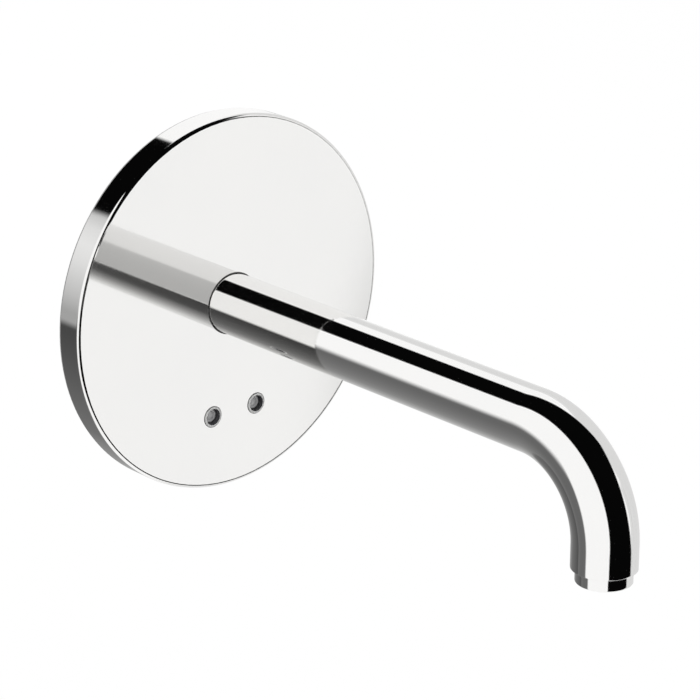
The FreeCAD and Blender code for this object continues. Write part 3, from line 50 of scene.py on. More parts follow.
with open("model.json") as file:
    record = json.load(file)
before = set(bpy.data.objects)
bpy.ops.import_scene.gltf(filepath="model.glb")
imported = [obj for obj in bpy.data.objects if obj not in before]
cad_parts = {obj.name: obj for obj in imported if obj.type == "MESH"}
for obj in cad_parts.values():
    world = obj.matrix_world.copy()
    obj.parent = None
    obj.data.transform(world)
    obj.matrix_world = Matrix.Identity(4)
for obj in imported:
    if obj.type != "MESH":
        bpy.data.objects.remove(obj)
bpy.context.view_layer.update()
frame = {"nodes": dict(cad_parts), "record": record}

import json
import math

import bpy
from mathutils import Matrix, Vector

MM = 0.001
TURN = 2 * math.pi
RIGHT = Vector((1, 0, 0))
ROOM = Vector((0, -1, 0))
UP = Vector((0, 0, 1))
DOUBLES = 1e-6  # points nearer to each other than this are one point
PLAY = 0.1 * MM  # between pieces that fit into each other

BLACK = (0, 0, 0)
WHITE = (1, 1, 1)
BLUE_GREY = (0.5, 0.55, 0.6)
PATCH_RANGE = (0.35, 0.65)  # levels of the noise between which the patches fade in
GRAIN_RANGE = (0.3, 0.7)  # levels of the noise between which the polish changes

# Each finish: its name, the share and colour of its patches, how metallic it is, the ends of its roughness,
# how fine its grain is and how deep in metres, and further settings
FINISHES = (
    ("chrome_plating", 0.03, BLUE_GREY, 1, (0.03, 0.05), 900, 2e-7, {"patch": 20}),
    ("plate_chrome", 0.03, BLUE_GREY, 1, (0.045, 0.06), 500, 2e-7, {"patch": 20}),
    ("satin_ring", 1, (0.46, 0.46, 0.46), 1, (0.12, 0.16), 900, 4e-7, {"patch": 300}),
    ("brass", 0.25, (0.45, 0.26, 0.12), 1, (0.22, 0.38), 1400, 6e-6, {"patch": 60}),
    ("steel", 0.18, BLACK, 1, (0.24, 0.36), 700, 4e-6, {"stretch": (1, 1, 14), "patch": 40}),
    ("grey_rubber", 0.2, BLACK, 0, (0.7, 0.9), 1600, 6e-5, {}),
    ("black_rubber", 0.04, WHITE, 0, (0.5, 0.7), 1800, 2e-5, {}),
    ("smoked_lens", 0.15, BLACK, 0, (0.05, 0.09), 900, 4e-7, {"patch": 300, "Coat_Weight": 1.0}),
    ("infrared_plastic", 0.3, (0.1, 0, 0.1), 0, (0.08, 0.14), 900, 1e-6, {}),
    ("black_plastic", 0.04, WHITE, 0, (0.4, 0.55), 2200, 1.2e-5, {}),
    ("white_plastic", 0.08, (0.7, 0.62, 0.45), 0, (0.32, 0.45), 1800, 6e-6, {}),
    ("grey_plastic", 0.12, BLACK, 0, (0.4, 0.55), 2000, 1e-5, {}),
    ("ceramic", 0.06, (0.75, 0.7, 0.6), 0, (0.1, 0.2), 2500, 1e-6, {}),
    ("board", 0.35, (0.2, 0.45, 0.12), 0, (0.25, 0.4), 1200, 1.2e-5, {"patch": 350}),
)

# Sides and shades that several cards share; what they mean stands with the card itself
LEFT_SIDE = ((0.994, -0.071, 0.08), -0.4575, 0.05)
RIGHT_SIDE = ((-0.883, -0.462, -0.088), -0.5753, 0.05)
RIGHT_LOW_SIDE = ((-0.973, 0.227, -0.025), -0.8088, 0.05)
RIM_SIDE = ((0, 1, 0), 0.72, 0.02)
LOW_BACK = ((0, 1, 0), 0.25, 0.1)
LOW_TOP = ((0, 0, -1), -0.05, 0.27)
LOW_END = ((0, 0, 1), -0.85, 0.05)
NEAR_BLACK = [(0, 0.002)]
MID_GREY = [(0, 0.74)]
LOW_SHADES = [
    (-0.683, 0.14), (-0.304, 0.205), (-0.063, 0.263), (0.186, 0.387), (0.412, 0.527), (0.589, 0.72), (0.7, 1)]

# Each card: its name, its distance in parts of the stage's, its shades, its sides, and what it shows in;
# the whole ones come first, because the others count them
CARDS = (
    ("overhead_flag_in_edge", 0.96, NEAR_BLACK, [
        ((1, 0, 0), -0.46, 0.05), ((-1, 0, 0), -0.32, 0.03), ((0, 0, 1), 0.38, 0.05)], "edge"),
    ("low_grey_flag_in_edge", 0.98, LOW_SHADES, [LOW_TOP], "edge"),
    ("overhead_flag", 1, NEAR_BLACK, [
        LEFT_SIDE, RIGHT_SIDE, RIGHT_LOW_SIDE, ((0, -0.656, 1), -0.05, 0.05)], "bare"),
    ("mouth_grey_card", 1.3, MID_GREY, [
        ((1, 0, 0), 0.6, 0.04), ((0, 0, 1), -0.6, 0.05), ((0, 0, -1), -0.35, 0.1), ((0, -1, 0), 0.4, 0.1),
        ((0, 1, 0), -0.7, 0.02)]),
    ("pale_card_in_plate", 1.02, [(-0.7, 0.5), (-0.22, 0.56), (-0.12, 0.84), (0.7, 0.88)], [
        ((0, 1, 0), 0.2, 0.1), ((0, 0, 1), -0.12, 0.01)], "plate"),
    ("low_flag_in_plate", 1.04, [(-0.68, 0.06), (-0.48, 0.08), (-0.25, 0.28), (0.3, 0.8)], [
        ((0, 0, -1), 0.12, 0.02), LOW_BACK, LOW_END], "plate"),
    ("overhead_flag_in_spout", 1.06, NEAR_BLACK, [LEFT_SIDE, RIGHT_SIDE, ((0, 0, 1), 0.3, 0.1)], "spout"),
    ("low_flag_in_spout", 1.08, [(-0.66, 0.055), (-0.3, 0.14), (-0.06, 0.23), (0.6, 0.8)], [
        ((0, 0, -1), 0.12, 0.13), LOW_BACK, LOW_END], "spout"),
    ("rim_pale_card", 1.1, [
        (-0.126, 0.38), (-0.007, 0.54), (0.111, 0.66), (0.226, 0.78), (0.333, 0.84), (0.429, 0.77), (0.511, 0.56)], [
        RIM_SIDE, ((-1, 0, 0), 0.33, 0.06), ((0, 0, 1), -0.24, 0.06)], "once", "Z"),
    ("rim_flag", 1.12, NEAR_BLACK, [
        RIM_SIDE, ((-1, 0, 0), -0.26, 0.04), ((1, 0, 0), -0.45, 0.04), ((0, 0, 1), 0.5, 0.02)]),
    ("low_dark_flag", 1.14, [
        (-0.606, 0.067), (-0.483, 0.093), (-0.297, 0.126), (0.048, 0.171), (0.166, 0.228), (0.384, 0.304),
        (0.55, 0.45)], [((0, 1, 0), 0.715, 0.02), ((0, 0, -1), 0.16, 0.06)]),
    ("low_grey_flag", 1.16, LOW_SHADES, [LOW_BACK, LOW_TOP, LOW_END]),
    ("right_grey_card", 1.18, MID_GREY, [
        ((1, 0, 0), 0.2, 0.1), ((0, -1.2, 1), -1.1, 0.55), ((0, -0.5, -1), -0.88, 0.08), ((0, 1, 0), -0.62, 0.12),
        ((0, -1, 0), -0.73, 0.02)]),
    ("right_low_flag", 1.2, [(0, 0.12)], [
        ((1, 0, 0), 0.5, 0.1), ((0, 0, -1), 0.44, 0.04), ((0, 0, 1), -0.75, 0.1), ((0, 1, 0), -0.5, 0.1),
        ((0, -1, 0), -0.5, 0.1)]),
)

FLOOR_RADIUS = 12
FLOOR_COLOUR = (0.86, 0.86, 0.855, 1)
FLOOR_GLOW = 0.96  # share of plain white in the floor as it is seen
LAMPS = {"key_lamp": (-2.9, -4.2, 4.5), "fill_lamp": (4.6, -2.4, 2.4), "back_lamp": (1.6, 4.7, 2.9)}
LAMP_SIZE = 3.7
LAMP_AIM = Vector((0, -0.1, 0))

# Where the photograph was taken from, and how the camera was turned
PHOTO_PLACE = (-0.72875, -0.89303, 0.40688)
PHOTO_TURN = Matrix((
    (0.74266714, 0.23480681, -0.62714534), (-0.66966075, 0.26040544, -0.6955167), (0.0, 0.93651202, 0.35063547)))


def low(node):
    """Lowest corner of a CAD node at rest."""
    return Vector(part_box(node)[0])


def high(node):
    """Highest corner of a CAD node at rest."""
    return Vector(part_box(node)[1])


def middle(node):
    """Centre of a CAD node's box at rest."""
    return (low(node) + high(node)) / 2


def ends(node, axis):
    """Corners of a CAD node's box at the start and at the far end of an axis."""
    corners = (low(node), high(node))
    return corners if sum(axis) > 0 else corners[::-1]


def slot_of(node):
    """Material slot of a CAD node that has its finish."""
    return frame["nodes"][node].material_slots[0].material.name.removesuffix("_finish")


def slot_colour(slot):
    """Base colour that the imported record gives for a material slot."""
    for material in frame["record"]["materials"]:
        if material["slot"] == slot:
            return tuple(material["base_color"])
    raise RuntimeError(f"the record has no material slot {slot}")


def length(name, text, default):
    """A size in metres that a user may change."""
    return bpy.props.FloatProperty(name=name, description=text, default=default, min=0, unit="LENGTH", precision=5)


def colour(name, text, default):
    """A colour that a user may change."""
    return bpy.props.FloatVectorProperty(
        name=name, description=text, default=default, min=0, max=1, size=3, subtype="COLOR")


class MixerSizes(bpy.types.PropertyGroup):
    plate_edge: length("Plate edge", "Rounding of the wall plate's front edge", 1.1 * MM)
    plate_wall: length("Plate wall", "Thickness of the wall plate's metal", 2 * MM)
    plate_hole: length("Spout hole", "Radius of the hole that the spout passes", 13.25 * MM)
    sensor_hole: length("Sensor hole", "Radius of the plate's two sensor holes", 4.05 * MM)
    spout_wall: length("Spout wall", "Thickness of the spout tube's metal", 1.75 * MM)
    spout_bend: length("Spout bend", "Radius of the spout's bend, at the middle of the tube", 37.7 * MM)
    spout_edge: length("Spout edge", "Rounding of the spout's mouth", 0.12 * MM)
    aerator_edge: length("Aerator edge", "Rounding of the aerator ring's lower edge", 0.4 * MM)
    aerator_lip: length("Aerator lip", "Width of the lip that holds the aerator's grid", 0.6 * MM)
    ring_bore: length("Sensor ring bore", "Radius of the sensor rings' bores", 3.45 * MM)
    ring_edge: length("Sensor ring edge", "Rounding of the sensor rings", 0.25 * MM)
    window: length("Sensor window", "Radius of the visible part of the sensor windows", 2.95 * MM)
    inlet_hexagon: length("Inlet hexagon", "Thickness of the hose connections' hexagons", 6 * MM)
    inlet_bore: length("Inlet bore", "Radius of the hose connections' bores", 7.5 * MM)
    inlet_passage: length("Inlet passage", "Radius of the narrow part of the hose connections", 5 * MM)
    inlet_screwed: length("Inlet screwed part", "Radius of the part screwed into the block", 9 * MM)
    thread_radius: length("Thread radius", "Outer radius of the hose thread", 10.4775 * MM)
    thread_depth: length("Thread depth", "Depth of the hose thread", 1.162 * MM)
    thread_pitch: length("Thread pitch", "Pitch of the hose thread", 1.814 * MM)
    spring_wire: length("Spring wire", "Thickness of the return springs' wire", 0.7 * MM)
    # Painted shade: the thin black ring round each sensor ring stands for the shadow line in the gap between the ring
    # and the plate
    washer: length("Sensor washer", "Width of the dark washers round the sensor rings", 0.22 * MM)
    grub_hole: length("Grub hole", "Radius of the hole under the spout", 2.55 * MM)
    grub_place: length("Grub place", "Distance of the grub screw from the wall", 22 * MM)


class MixerFinishes(bpy.types.PropertyGroup):
    chrome_plating: colour("Chrome", "Polished chrome plating", (0.935, 0.93, 0.92))
    plate_chrome: colour("Plate chrome", "Chrome plating of the wall plate", (0.885, 0.880, 0.868))
    satin_ring: colour("Satin chrome", "Sensor rings", (0.5, 0.5, 0.49))
    brass: colour("Brass", "Machined brass", slot_colour("brass"))
    steel: colour("Steel", "Brushed stainless steel", slot_colour("steel"))
    grey_rubber: colour("Grey rubber", "Foamed gasket", slot_colour("grey_rubber"))
    black_rubber: colour("Black rubber", "Seals and the lead's sleeve", slot_colour("black_rubber"))
    smoked_lens: colour("Smoked window", "Sensor windows", (0.36, 0.36, 0.365))
    infrared_plastic: colour("Infrared plastic", "Sensor eyes", slot_colour("infrared_plastic"))
    black_plastic: colour("Black plastic", "Housings and coil", slot_colour("black_plastic"))
    white_plastic: colour("White plastic", "Cartridge, cages and aerator grid", slot_colour("white_plastic"))
    grey_plastic: colour("Grey plastic", "Temperature knob", slot_colour("grey_plastic"))
    ceramic: colour("Ceramic", "Mixing discs", slot_colour("ceramic"))
    board: colour("Board", "Circuit board's lacquer", slot_colour("board"))


class MixerStage(bpy.types.PropertyGroup):
    floor_drop: length("Floor drop", "Height of the tap above the floor", 1.0)
    card_distance: length("Card distance", "Distance of the studio cards from the tap", 4.0)
    ambient: bpy.props.FloatProperty(
        name="Ambient", description="Strength of the studio's all-round light", default=0.55, min=0)
    lamp_power: bpy.props.FloatProperty(
        name="Lamp power", description="Power of each soft lamp in watts", default=150, min=0)
    focal_length: bpy.props.FloatProperty(
        name="Focal length", description="Camera lens in millimetres", default=150.67, min=1)


# Modelling by hand

def deselect():
    """Leaves edit mode and selects nothing."""
    if bpy.context.mode != "OBJECT":
        bpy.ops.object.mode_set(mode="OBJECT")
    bpy.ops.object.select_all(action="DESELECT")


def pick(*pieces):
    """Selects these pieces alone, the first of them active."""
    deselect()
    for piece in pieces:
        piece.select_set(True)
    bpy.context.view_layer.objects.active = pieces[0]


def edit():
    """Starts editing the active piece with all of its mesh selected."""
    bpy.ops.object.mode_set(mode="EDIT")
    bpy.ops.mesh.select_mode(type="VERT")
    bpy.ops.mesh.select_all(action="SELECT")


def named(name):
    """The object just added, under its own name."""
    piece = bpy.context.object
    piece.name = piece.data.name = name
    return piece


def facing(axis):
    """Turn that takes a primitive's own +Z to an axis."""
    return UP.rotation_difference(axis).to_euler()


def choose_edges(piece, test):
    """Selects the piece's edges whose two ends pass a test."""
    bpy.ops.mesh.select_mode(type="EDGE")
    bpy.ops.mesh.select_all(action="DESELECT")
    bpy.ops.object.mode_set(mode="OBJECT")
    for edge in piece.data.edges:
        edge.select = all(test(piece.data.vertices[end].co) for end in edge.vertices)
    bpy.ops.object.mode_set(mode="EDIT")


def arc(centre, radius, start, end, steps):
    """Profile points round a fillet, from one angle in degrees to another."""
    turns = [math.radians(start + (end - start) * step / steps) for step in range(steps + 1)]
    return [(centre[0] + radius * math.cos(turn), centre[1] + radius * math.sin(turn)) for turn in turns]


def outlined(name, places):
    """A piece begun as a point that is extruded from place to place, in edit mode and all selected."""
    deselect()
    bpy.ops.mesh.primitive_plane_add(size=MM, location=places[0])
    piece = named(name)
    edit()
    bpy.ops.mesh.merge(type="CENTER")
    for start, end in zip(places, places[1:]):
        step = [there - here for here, there in zip(start, end)]
        bpy.ops.mesh.extrude_region_move(TRANSFORM_OT_translate={"value": step})
    bpy.ops.mesh.select_all(action="SELECT")
    return piece


def close_up():
    """Merges doubles, deletes loose parts, turns all faces outwards and leaves edit mode."""
    bpy.ops.mesh.select_all(action="SELECT")
    bpy.ops.mesh.remove_doubles(threshold=DOUBLES)
    bpy.ops.mesh.delete_loose()
    bpy.ops.mesh.select_all(action="SELECT")
    bpy.ops.mesh.normals_make_consistent(inside=False)
    bpy.ops.object.mode_set(mode="OBJECT")


def turned(name, at, axis, profile, steps=96):
    """A turned piece: its closed profile, (radius, height), is spun about the axis."""
    across = axis.orthogonal().normalized()
    piece = outlined(name, [at + across * radius + axis * height for radius, height in profile + profile[:1]])
    bpy.ops.mesh.spin(steps=steps, angle=TURN, center=at, axis=axis)
    close_up()
    return piece


def applied(piece, kind, **settings):
    """Adds a modifier to a piece and applies it."""
    pick(piece)
    modifier = piece.modifiers.new(kind.title(), kind)
    for setting, value in settings.items():
        setattr(modifier, setting, value)
    bpy.ops.object.modifier_apply(modifier=modifier.name)


def wound(name, at, axis, profile, pitch, turns, steps):
    """A helical piece: its closed profile, (radius, height), is wound about the axis and both ends are closed."""
    piece = outlined(name, [(radius, 0, height) for radius, height in profile + profile[:1]])
    bpy.ops.mesh.remove_doubles(threshold=DOUBLES)
    bpy.ops.object.mode_set(mode="OBJECT")
    bpy.ops.object.transform_apply()
    applied(piece, "SCREW", axis="Z", angle=TURN, screw_offset=pitch, iterations=turns, steps=steps,
            render_steps=steps, use_merge_vertices=False)
    edit()
    bpy.ops.mesh.remove_doubles(threshold=DOUBLES)
    bpy.ops.mesh.select_all(action="SELECT")
    bpy.ops.mesh.fill_holes(sides=0)
    close_up()
    piece.rotation_euler = facing(axis)
    piece.location = at
    bpy.ops.object.transform_apply()
    return piece


def rod(at, axis, radius, depth, sides=48):
    """A round or many-sided rod with its middle at a point."""
    deselect()
    bpy.ops.mesh.primitive_cylinder_add(
        vertices=sides, radius=radius, depth=depth, location=at, rotation=facing(axis))
    piece = named("rod")
    bpy.ops.object.transform_apply()
    return piece


def carved(piece, cutter, operation="DIFFERENCE"):
    """Takes a cutter out of a piece, or leaves what both share, and deletes the cutter."""
    applied(piece, "BOOLEAN", operation=operation, solver="EXACT", object=cutter)
    bpy.data.objects.remove(cutter)


def joined(*pieces):
    """Several shells as one piece, named after the first."""
    pick(*pieces)
    bpy.ops.object.join()
    return bpy.context.object


def mirrored(piece, name):
    """A copy of a piece with its own mesh, for the other side of the plate's axis."""
    pick(piece)
    bpy.ops.object.duplicate()
    copy = named(name)
    bpy.ops.transform.mirror(constraint_axis=(True, False, False), center_override=(0, 0, 0))
    bpy.ops.object.transform_apply()
    edit()
    bpy.ops.mesh.normals_make_consistent(inside=False)
    bpy.ops.object.mode_set(mode="OBJECT")
    return copy


def finished(piece, body, slot, *nodes, look=None, sharp=34):
    """Smooths a piece, puts its place into its mesh, gives it its finish and lets it ride on its body.

    The nodes are those that it replaces, and its finish is named after its slot unless it has a look of its own.
    """
    pick(piece)
    bpy.ops.object.transform_apply()
    bpy.ops.object.shade_smooth_by_angle(angle=math.radians(sharp))
    piece.data.materials.clear()
    piece.data.materials.append(finish(look or slot))
    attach(piece, body)
    if nodes:
        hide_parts(*nodes)


def inlaid(piece, name, at, test):
    """Gives a second finish to the faces whose distance from a front-to-back axis passes a test."""
    piece.data.materials.append(finish(name))
    for face in piece.data.polygons:
        spot = face.center - at
        face.material_index = int(test(math.hypot(spot.x, spot.z)))


# Finishes

def finish(name):
    """A new material, or the one already made under this name, with its shader."""
    material = bpy.data.materials.get(name + "_finish")
    if material is None:
        material = bpy.data.materials.new(name + "_finish")
        material.use_nodes = True
    return material


def shader_of(material):
    """The main shader of a finish."""
    return material.node_tree.nodes["Principled BSDF"]


def put(holder, kind, **settings):
    """Adds a shader node with its properties and socket values."""
    made = holder.node_tree.nodes.new(kind)
    for setting, value in settings.items():
        if hasattr(made, setting):
            setattr(made, setting, value)
        else:
            made.inputs[setting.replace("_", " ")].default_value = value
    return made


def wire(holder, start, output, end, socket):
    """Joins an output to a socket."""
    holder.node_tree.links.new(start.outputs[output], end.inputs[socket])


def cloud(material, place, scale, detail):
    """Noise of a given scale on a pattern."""
    noise = put(material, "ShaderNodeTexNoise", Scale=scale, Detail=detail)
    wire(material, place, "Vector", noise, "Vector")
    return noise


def ranged(material, start, output, low_in, high_in, low_out, high_out):
    """A value moved from one range to another."""
    made = put(material, "ShaderNodeMapRange", From_Min=low_in, From_Max=high_in, To_Min=low_out, To_Max=high_out)
    wire(material, start, output, made, "Value")
    return made


def multiplied(material, first, second):
    """The product of two values."""
    made = put(material, "ShaderNodeMath", operation="MULTIPLY")
    wire(material, first, 0, made, 0)
    wire(material, second, 0, made, 1)
    return made


def mixed(tint, share, target):
    """A colour moved some way to another."""
    return tuple(part + (aim - part) * share for part, aim in zip(tint, target))


def grained(name, tint, shade, metallic, roughness, grain, depth, stretch=(1, 1, 1), patch=35, **sockets):
    """A finish with soft patches of colour, a grain in its relief and an uneven polish."""
    material = finish(name)
    shader = shader_of(material)
    shader.inputs["Metallic"].default_value = metallic
    for socket, value in sockets.items():
        shader.inputs[socket.replace("_", " ")].default_value = value
    place = put(material, "ShaderNodeMapping", Scale=stretch)
    wire(material, put(material, "ShaderNodeTexCoord"), "Object", place, "Vector")
    spread = ranged(material, cloud(material, place, patch, 4), "Fac", *PATCH_RANGE, 0, 1)
    tints = put(material, "ShaderNodeMix", data_type="RGBA", A=(*tint, 1), B=(*shade, 1))
    wire(material, spread, "Result", tints, "Factor")
    wire(material, tints, "Result", shader, "Base Color")
    fine = cloud(material, place, grain, 6)
    polish = ranged(material, fine, "Fac", *GRAIN_RANGE, *roughness)
    wire(material, polish, "Result", shader, "Roughness")
    relief = put(material, "ShaderNodeBump", Strength=1.0, Distance=depth)
    wire(material, fine, "Fac", relief, "Height")
    wire(material, relief, "Normal", shader, "Normal")


def seen_rays(holder):
    """One where a ray comes from the camera, a mirror or a clear material, otherwise nought."""
    path = put(holder, "ShaderNodeLightPath")
    bounced = put(holder, "ShaderNodeMath", operation="MAXIMUM")
    seen = put(holder, "ShaderNodeMath", operation="MAXIMUM")
    wire(holder, path, "Is Camera Ray", bounced, 0)
    wire(holder, path, "Is Glossy Ray", bounced, 1)
    wire(holder, bounced, "Value", seen, 0)
    wire(holder, path, "Is Transmission Ray", seen, 1)
    return seen


def surfaced(holder, share, first, second, output="Material Output"):
    """Shows two shaders by the second one's share."""
    both = put(holder, "ShaderNodeMixShader")
    for node, socket in ((share, "Fac"), (first, 1), (second, 2)):
        wire(holder, node, 0, both, socket)
    wire(holder, both, "Shader", holder.node_tree.nodes[output], "Surface")


class MIXER_OT_cad_finishes(bpy.types.Operator):
    """Makes all finishes and gives every CAD node the one of its material slot"""
    bl_idname = "mixer.cad_finishes"
    bl_label = "Finish the CAD nodes"

    def execute(self, context):
        for name, share, patches, metallic, roughness, grain, depth, more in FINISHES:
            tint = tuple(getattr(context.scene.mixer_finishes, name))
            grained(name, tint, mixed(tint, share, patches), metallic, roughness, grain, depth, **more)
        for node in frame["nodes"].values():
            for place in node.material_slots:
                place.material = finish(place.material.name)
        return {"FINISHED"}


class MIXER_OT_wall_plate(bpy.types.Operator):
    """Turns the wall plate with its rounded edge and drills its two sensor holes"""
    bl_idname = "mixer.wall_plate"
    bl_label = "Wall plate"

    def execute(self, context):
        sizes = context.scene.mixer_sizes
        front = -low("escutcheon_plate").y
        back = -high("escutcheon_plate").y
        radius = high("escutcheon_plate").x
        edge = sizes.plate_edge
        wall = sizes.plate_wall
        hole = sizes.plate_hole
        ease = 0.15 * MM
        profile = [(hole, front - wall), *arc((hole + ease, front - ease), ease, 180, 90, 3),
                   (hole + 2 * ease, front), (radius - edge - ease, front),
                   *arc((radius - edge, front - edge), edge, 90, 0, 12),
                   (radius, front - edge - ease), (radius, back + ease), (radius - ease, back),
                   (radius - wall, back), (radius - wall, front - wall - edge),
                   (radius - wall - edge, front - wall)]
        plate = turned("wall_plate", Vector(), ROOM, profile, 256)
        for lens in ("emitter_lens", "receiver_lens"):
            at = Vector((middle(lens).x, -front, middle(lens).z))
            carved(plate, rod(at, ROOM, sizes.sensor_hole, 6 * wall))
        finished(plate, "mixer_body", "chrome_plating", "escutcheon_plate", look="plate_chrome")
        inlaid(plate, "chrome_plating", Vector(), lambda wide: wide > radius - edge)
        return {"FINISHED"}


class MIXER_OT_spout(bpy.types.Operator):
    """Draws the spout's tube from a disc: straight out, round the bend and down to its mouth"""
    bl_idname = "mixer.spout"
    bl_label = "Spout tube"

    def execute(self, context):
        sizes = context.scene.mixer_sizes
        radius = high("spout_tube").x
        root = high("spout_tube").y
        mouth = low("spout_tube").z
        bend = sizes.spout_bend
        bend_at = low("spout_tube").y + radius + bend
        collar = 4 * sizes.spout_edge
        deselect()
        bpy.ops.mesh.primitive_circle_add(
            vertices=128, radius=radius, fill_type="NGON", location=(0, root, 0), rotation=facing(ROOM))
        tube = named("spout")
        bpy.ops.object.transform_apply()
        edit()
        bpy.ops.mesh.select_mode(type="FACE")
        bpy.ops.mesh.inset(thickness=sizes.spout_wall)
        bpy.ops.mesh.delete(type="FACE")
        bpy.ops.mesh.select_all(action="SELECT")
        bpy.ops.mesh.extrude_region_move(TRANSFORM_OT_translate={"value": (0, bend_at - root, 0)})
        bpy.ops.mesh.spin(steps=72, angle=TURN / 4, center=(0, bend_at, -bend), axis=(-1, 0, 0))
        for rise in (mouth + bend + collar, -collar):
            bpy.ops.mesh.extrude_region_move(TRANSFORM_OT_translate={"value": (0, 0, rise)})
        choose_edges(tube, lambda end: abs(end.z - mouth) < DOUBLES)
        bpy.ops.mesh.bevel(offset=sizes.spout_edge, segments=5, affect="EDGES")
        close_up()
        carved(tube, rod(Vector((0, -sizes.grub_place, -radius)), UP, sizes.grub_hole, radius))
        finished(tube, "mixer_body", "chrome_plating", "spout_tube")
        return {"FINISHED"}


class MIXER_OT_aerator_ring(bpy.types.Operator):
    """Turns the aerator's screwed ring with its lip"""
    bl_idname = "mixer.aerator_ring"
    bl_label = "Aerator ring"

    def execute(self, context):
        edge = context.scene.mixer_sizes.aerator_edge
        outer = high("aerator_housing").x
        top = high("aerator_housing").z
        bottom = low("aerator_housing").z
        shelf = low("aerator_insert").z
        bore = high("aerator_insert").x + PLAY
        lip = bore - context.scene.mixer_sizes.aerator_lip
        groove = 0.12 * MM
        mouth = low("spout_tube").z
        at = Vector((0, middle("aerator_housing").y, 0))
        profile = [(bore, top), (outer - edge, top), (outer, top - edge), (outer, mouth + 2 * groove),
                   (outer - groove, mouth + groove), (outer, mouth), (outer, bottom + 2 * edge),
                   *arc((outer - edge, bottom + edge), edge, 0, -90, 6), (lip + edge, bottom),
                   *arc((lip + edge / 2, bottom + edge / 2), edge / 2, -90, -180, 4), (lip, shelf),
                   (bore, shelf)]
        finished(turned("aerator_ring", at, UP, profile, 128), "aerator", "chrome_plating", "aerator_housing")
        return {"FINISHED"}


class MIXER_OT_sensor_windows(bpy.types.Operator):
    """Turns the two sensor rings, with their bores painted dark as shade and thin black rings round them painted as
    the shade line of their gaps, and the two smoked windows
    """
    bl_idname = "mixer.sensor_windows"
    bl_label = "Sensor windows"

    def execute(self, context):
        for eye in ("emitter", "receiver"):
            self.ring(context.scene.mixer_sizes, eye)
            self.window(context.scene.mixer_sizes, eye)
        return {"FINISHED"}

    def ring(self, sizes, eye):
        """A satin ring whose bore is painted dark as shade in its recess, and a thin black ring round it on the plate,
        painted as the shade line of the gap.
        """
        node = eye + "_bezel"
        at = Vector((middle(node).x, 0, middle(node).z))
        outer = high(node).x - at.x
        face = -low(node).y
        back = -high(node).y
        plate = -low("escutcheon_plate").y
        glass = high(eye + "_lens").x - at.x + PLAY
        ridge = -low(eye + "_lens").y + 0.2 * MM
        edge = sizes.ring_edge
        bore = sizes.ring_bore
        sleeve = sizes.sensor_hole - PLAY
        profile = [(bore, ridge), (bore, face - edge / 2), (bore + edge / 2, face), (outer - edge, face),
                   *arc((outer - edge, face - edge), edge, 90, 0, 5), (outer, plate), (sleeve, plate),
                   (sleeve, back), (glass, back), (glass, ridge)]
        ring = turned(eye + "_ring", at, ROOM, profile, 72)
        # Painted shade: this black ring on the plate round the sensor ring stands for the shadow line of the gap
        inside = outer + 0.02 * MM
        outside = outer + sizes.washer
        washer = turned(eye + "_washer", at, ROOM, [
            (inside, plate), (outside, plate), (outside, plate + 0.06 * MM), (inside, plate + 0.1 * MM)], 72)
        finished(washer, "mixer_body", "black_rubber")
        finished(ring, "mixer_body", "chrome_plating", node, look="satin_ring")
        # Painted shade: the bore's faces take the black plastic finish to stand for the shade inside the recess
        inlaid(ring, "black_plastic", at, lambda wide: wide < bore + edge / 4)

    def window(self, sizes, eye):
        """A smoked pane whose raised middle has a fine groove and a slight dome."""
        node = eye + "_lens"
        at = Vector((middle(node).x, 0, middle(node).z))
        radius = high(node).x - at.x
        back = -high(node).y
        front = -low(node).y
        step = sizes.window
        face = front + 0.7 * MM
        ease = 0.15 * MM
        groove = 0.08 * MM
        dome = 0.1 * MM
        profile = [(0, back), (radius, back), (radius, front), (step, front), (step, face - ease),
                   (step - ease, face), (step * 0.72, face), (step * 0.68, face - groove), (step * 0.64, face),
                   (0, face + dome)]
        finished(turned(eye + "_window", at, ROOM, profile, 64), "mixer_body", "smoked_lens", node, sharp=50)


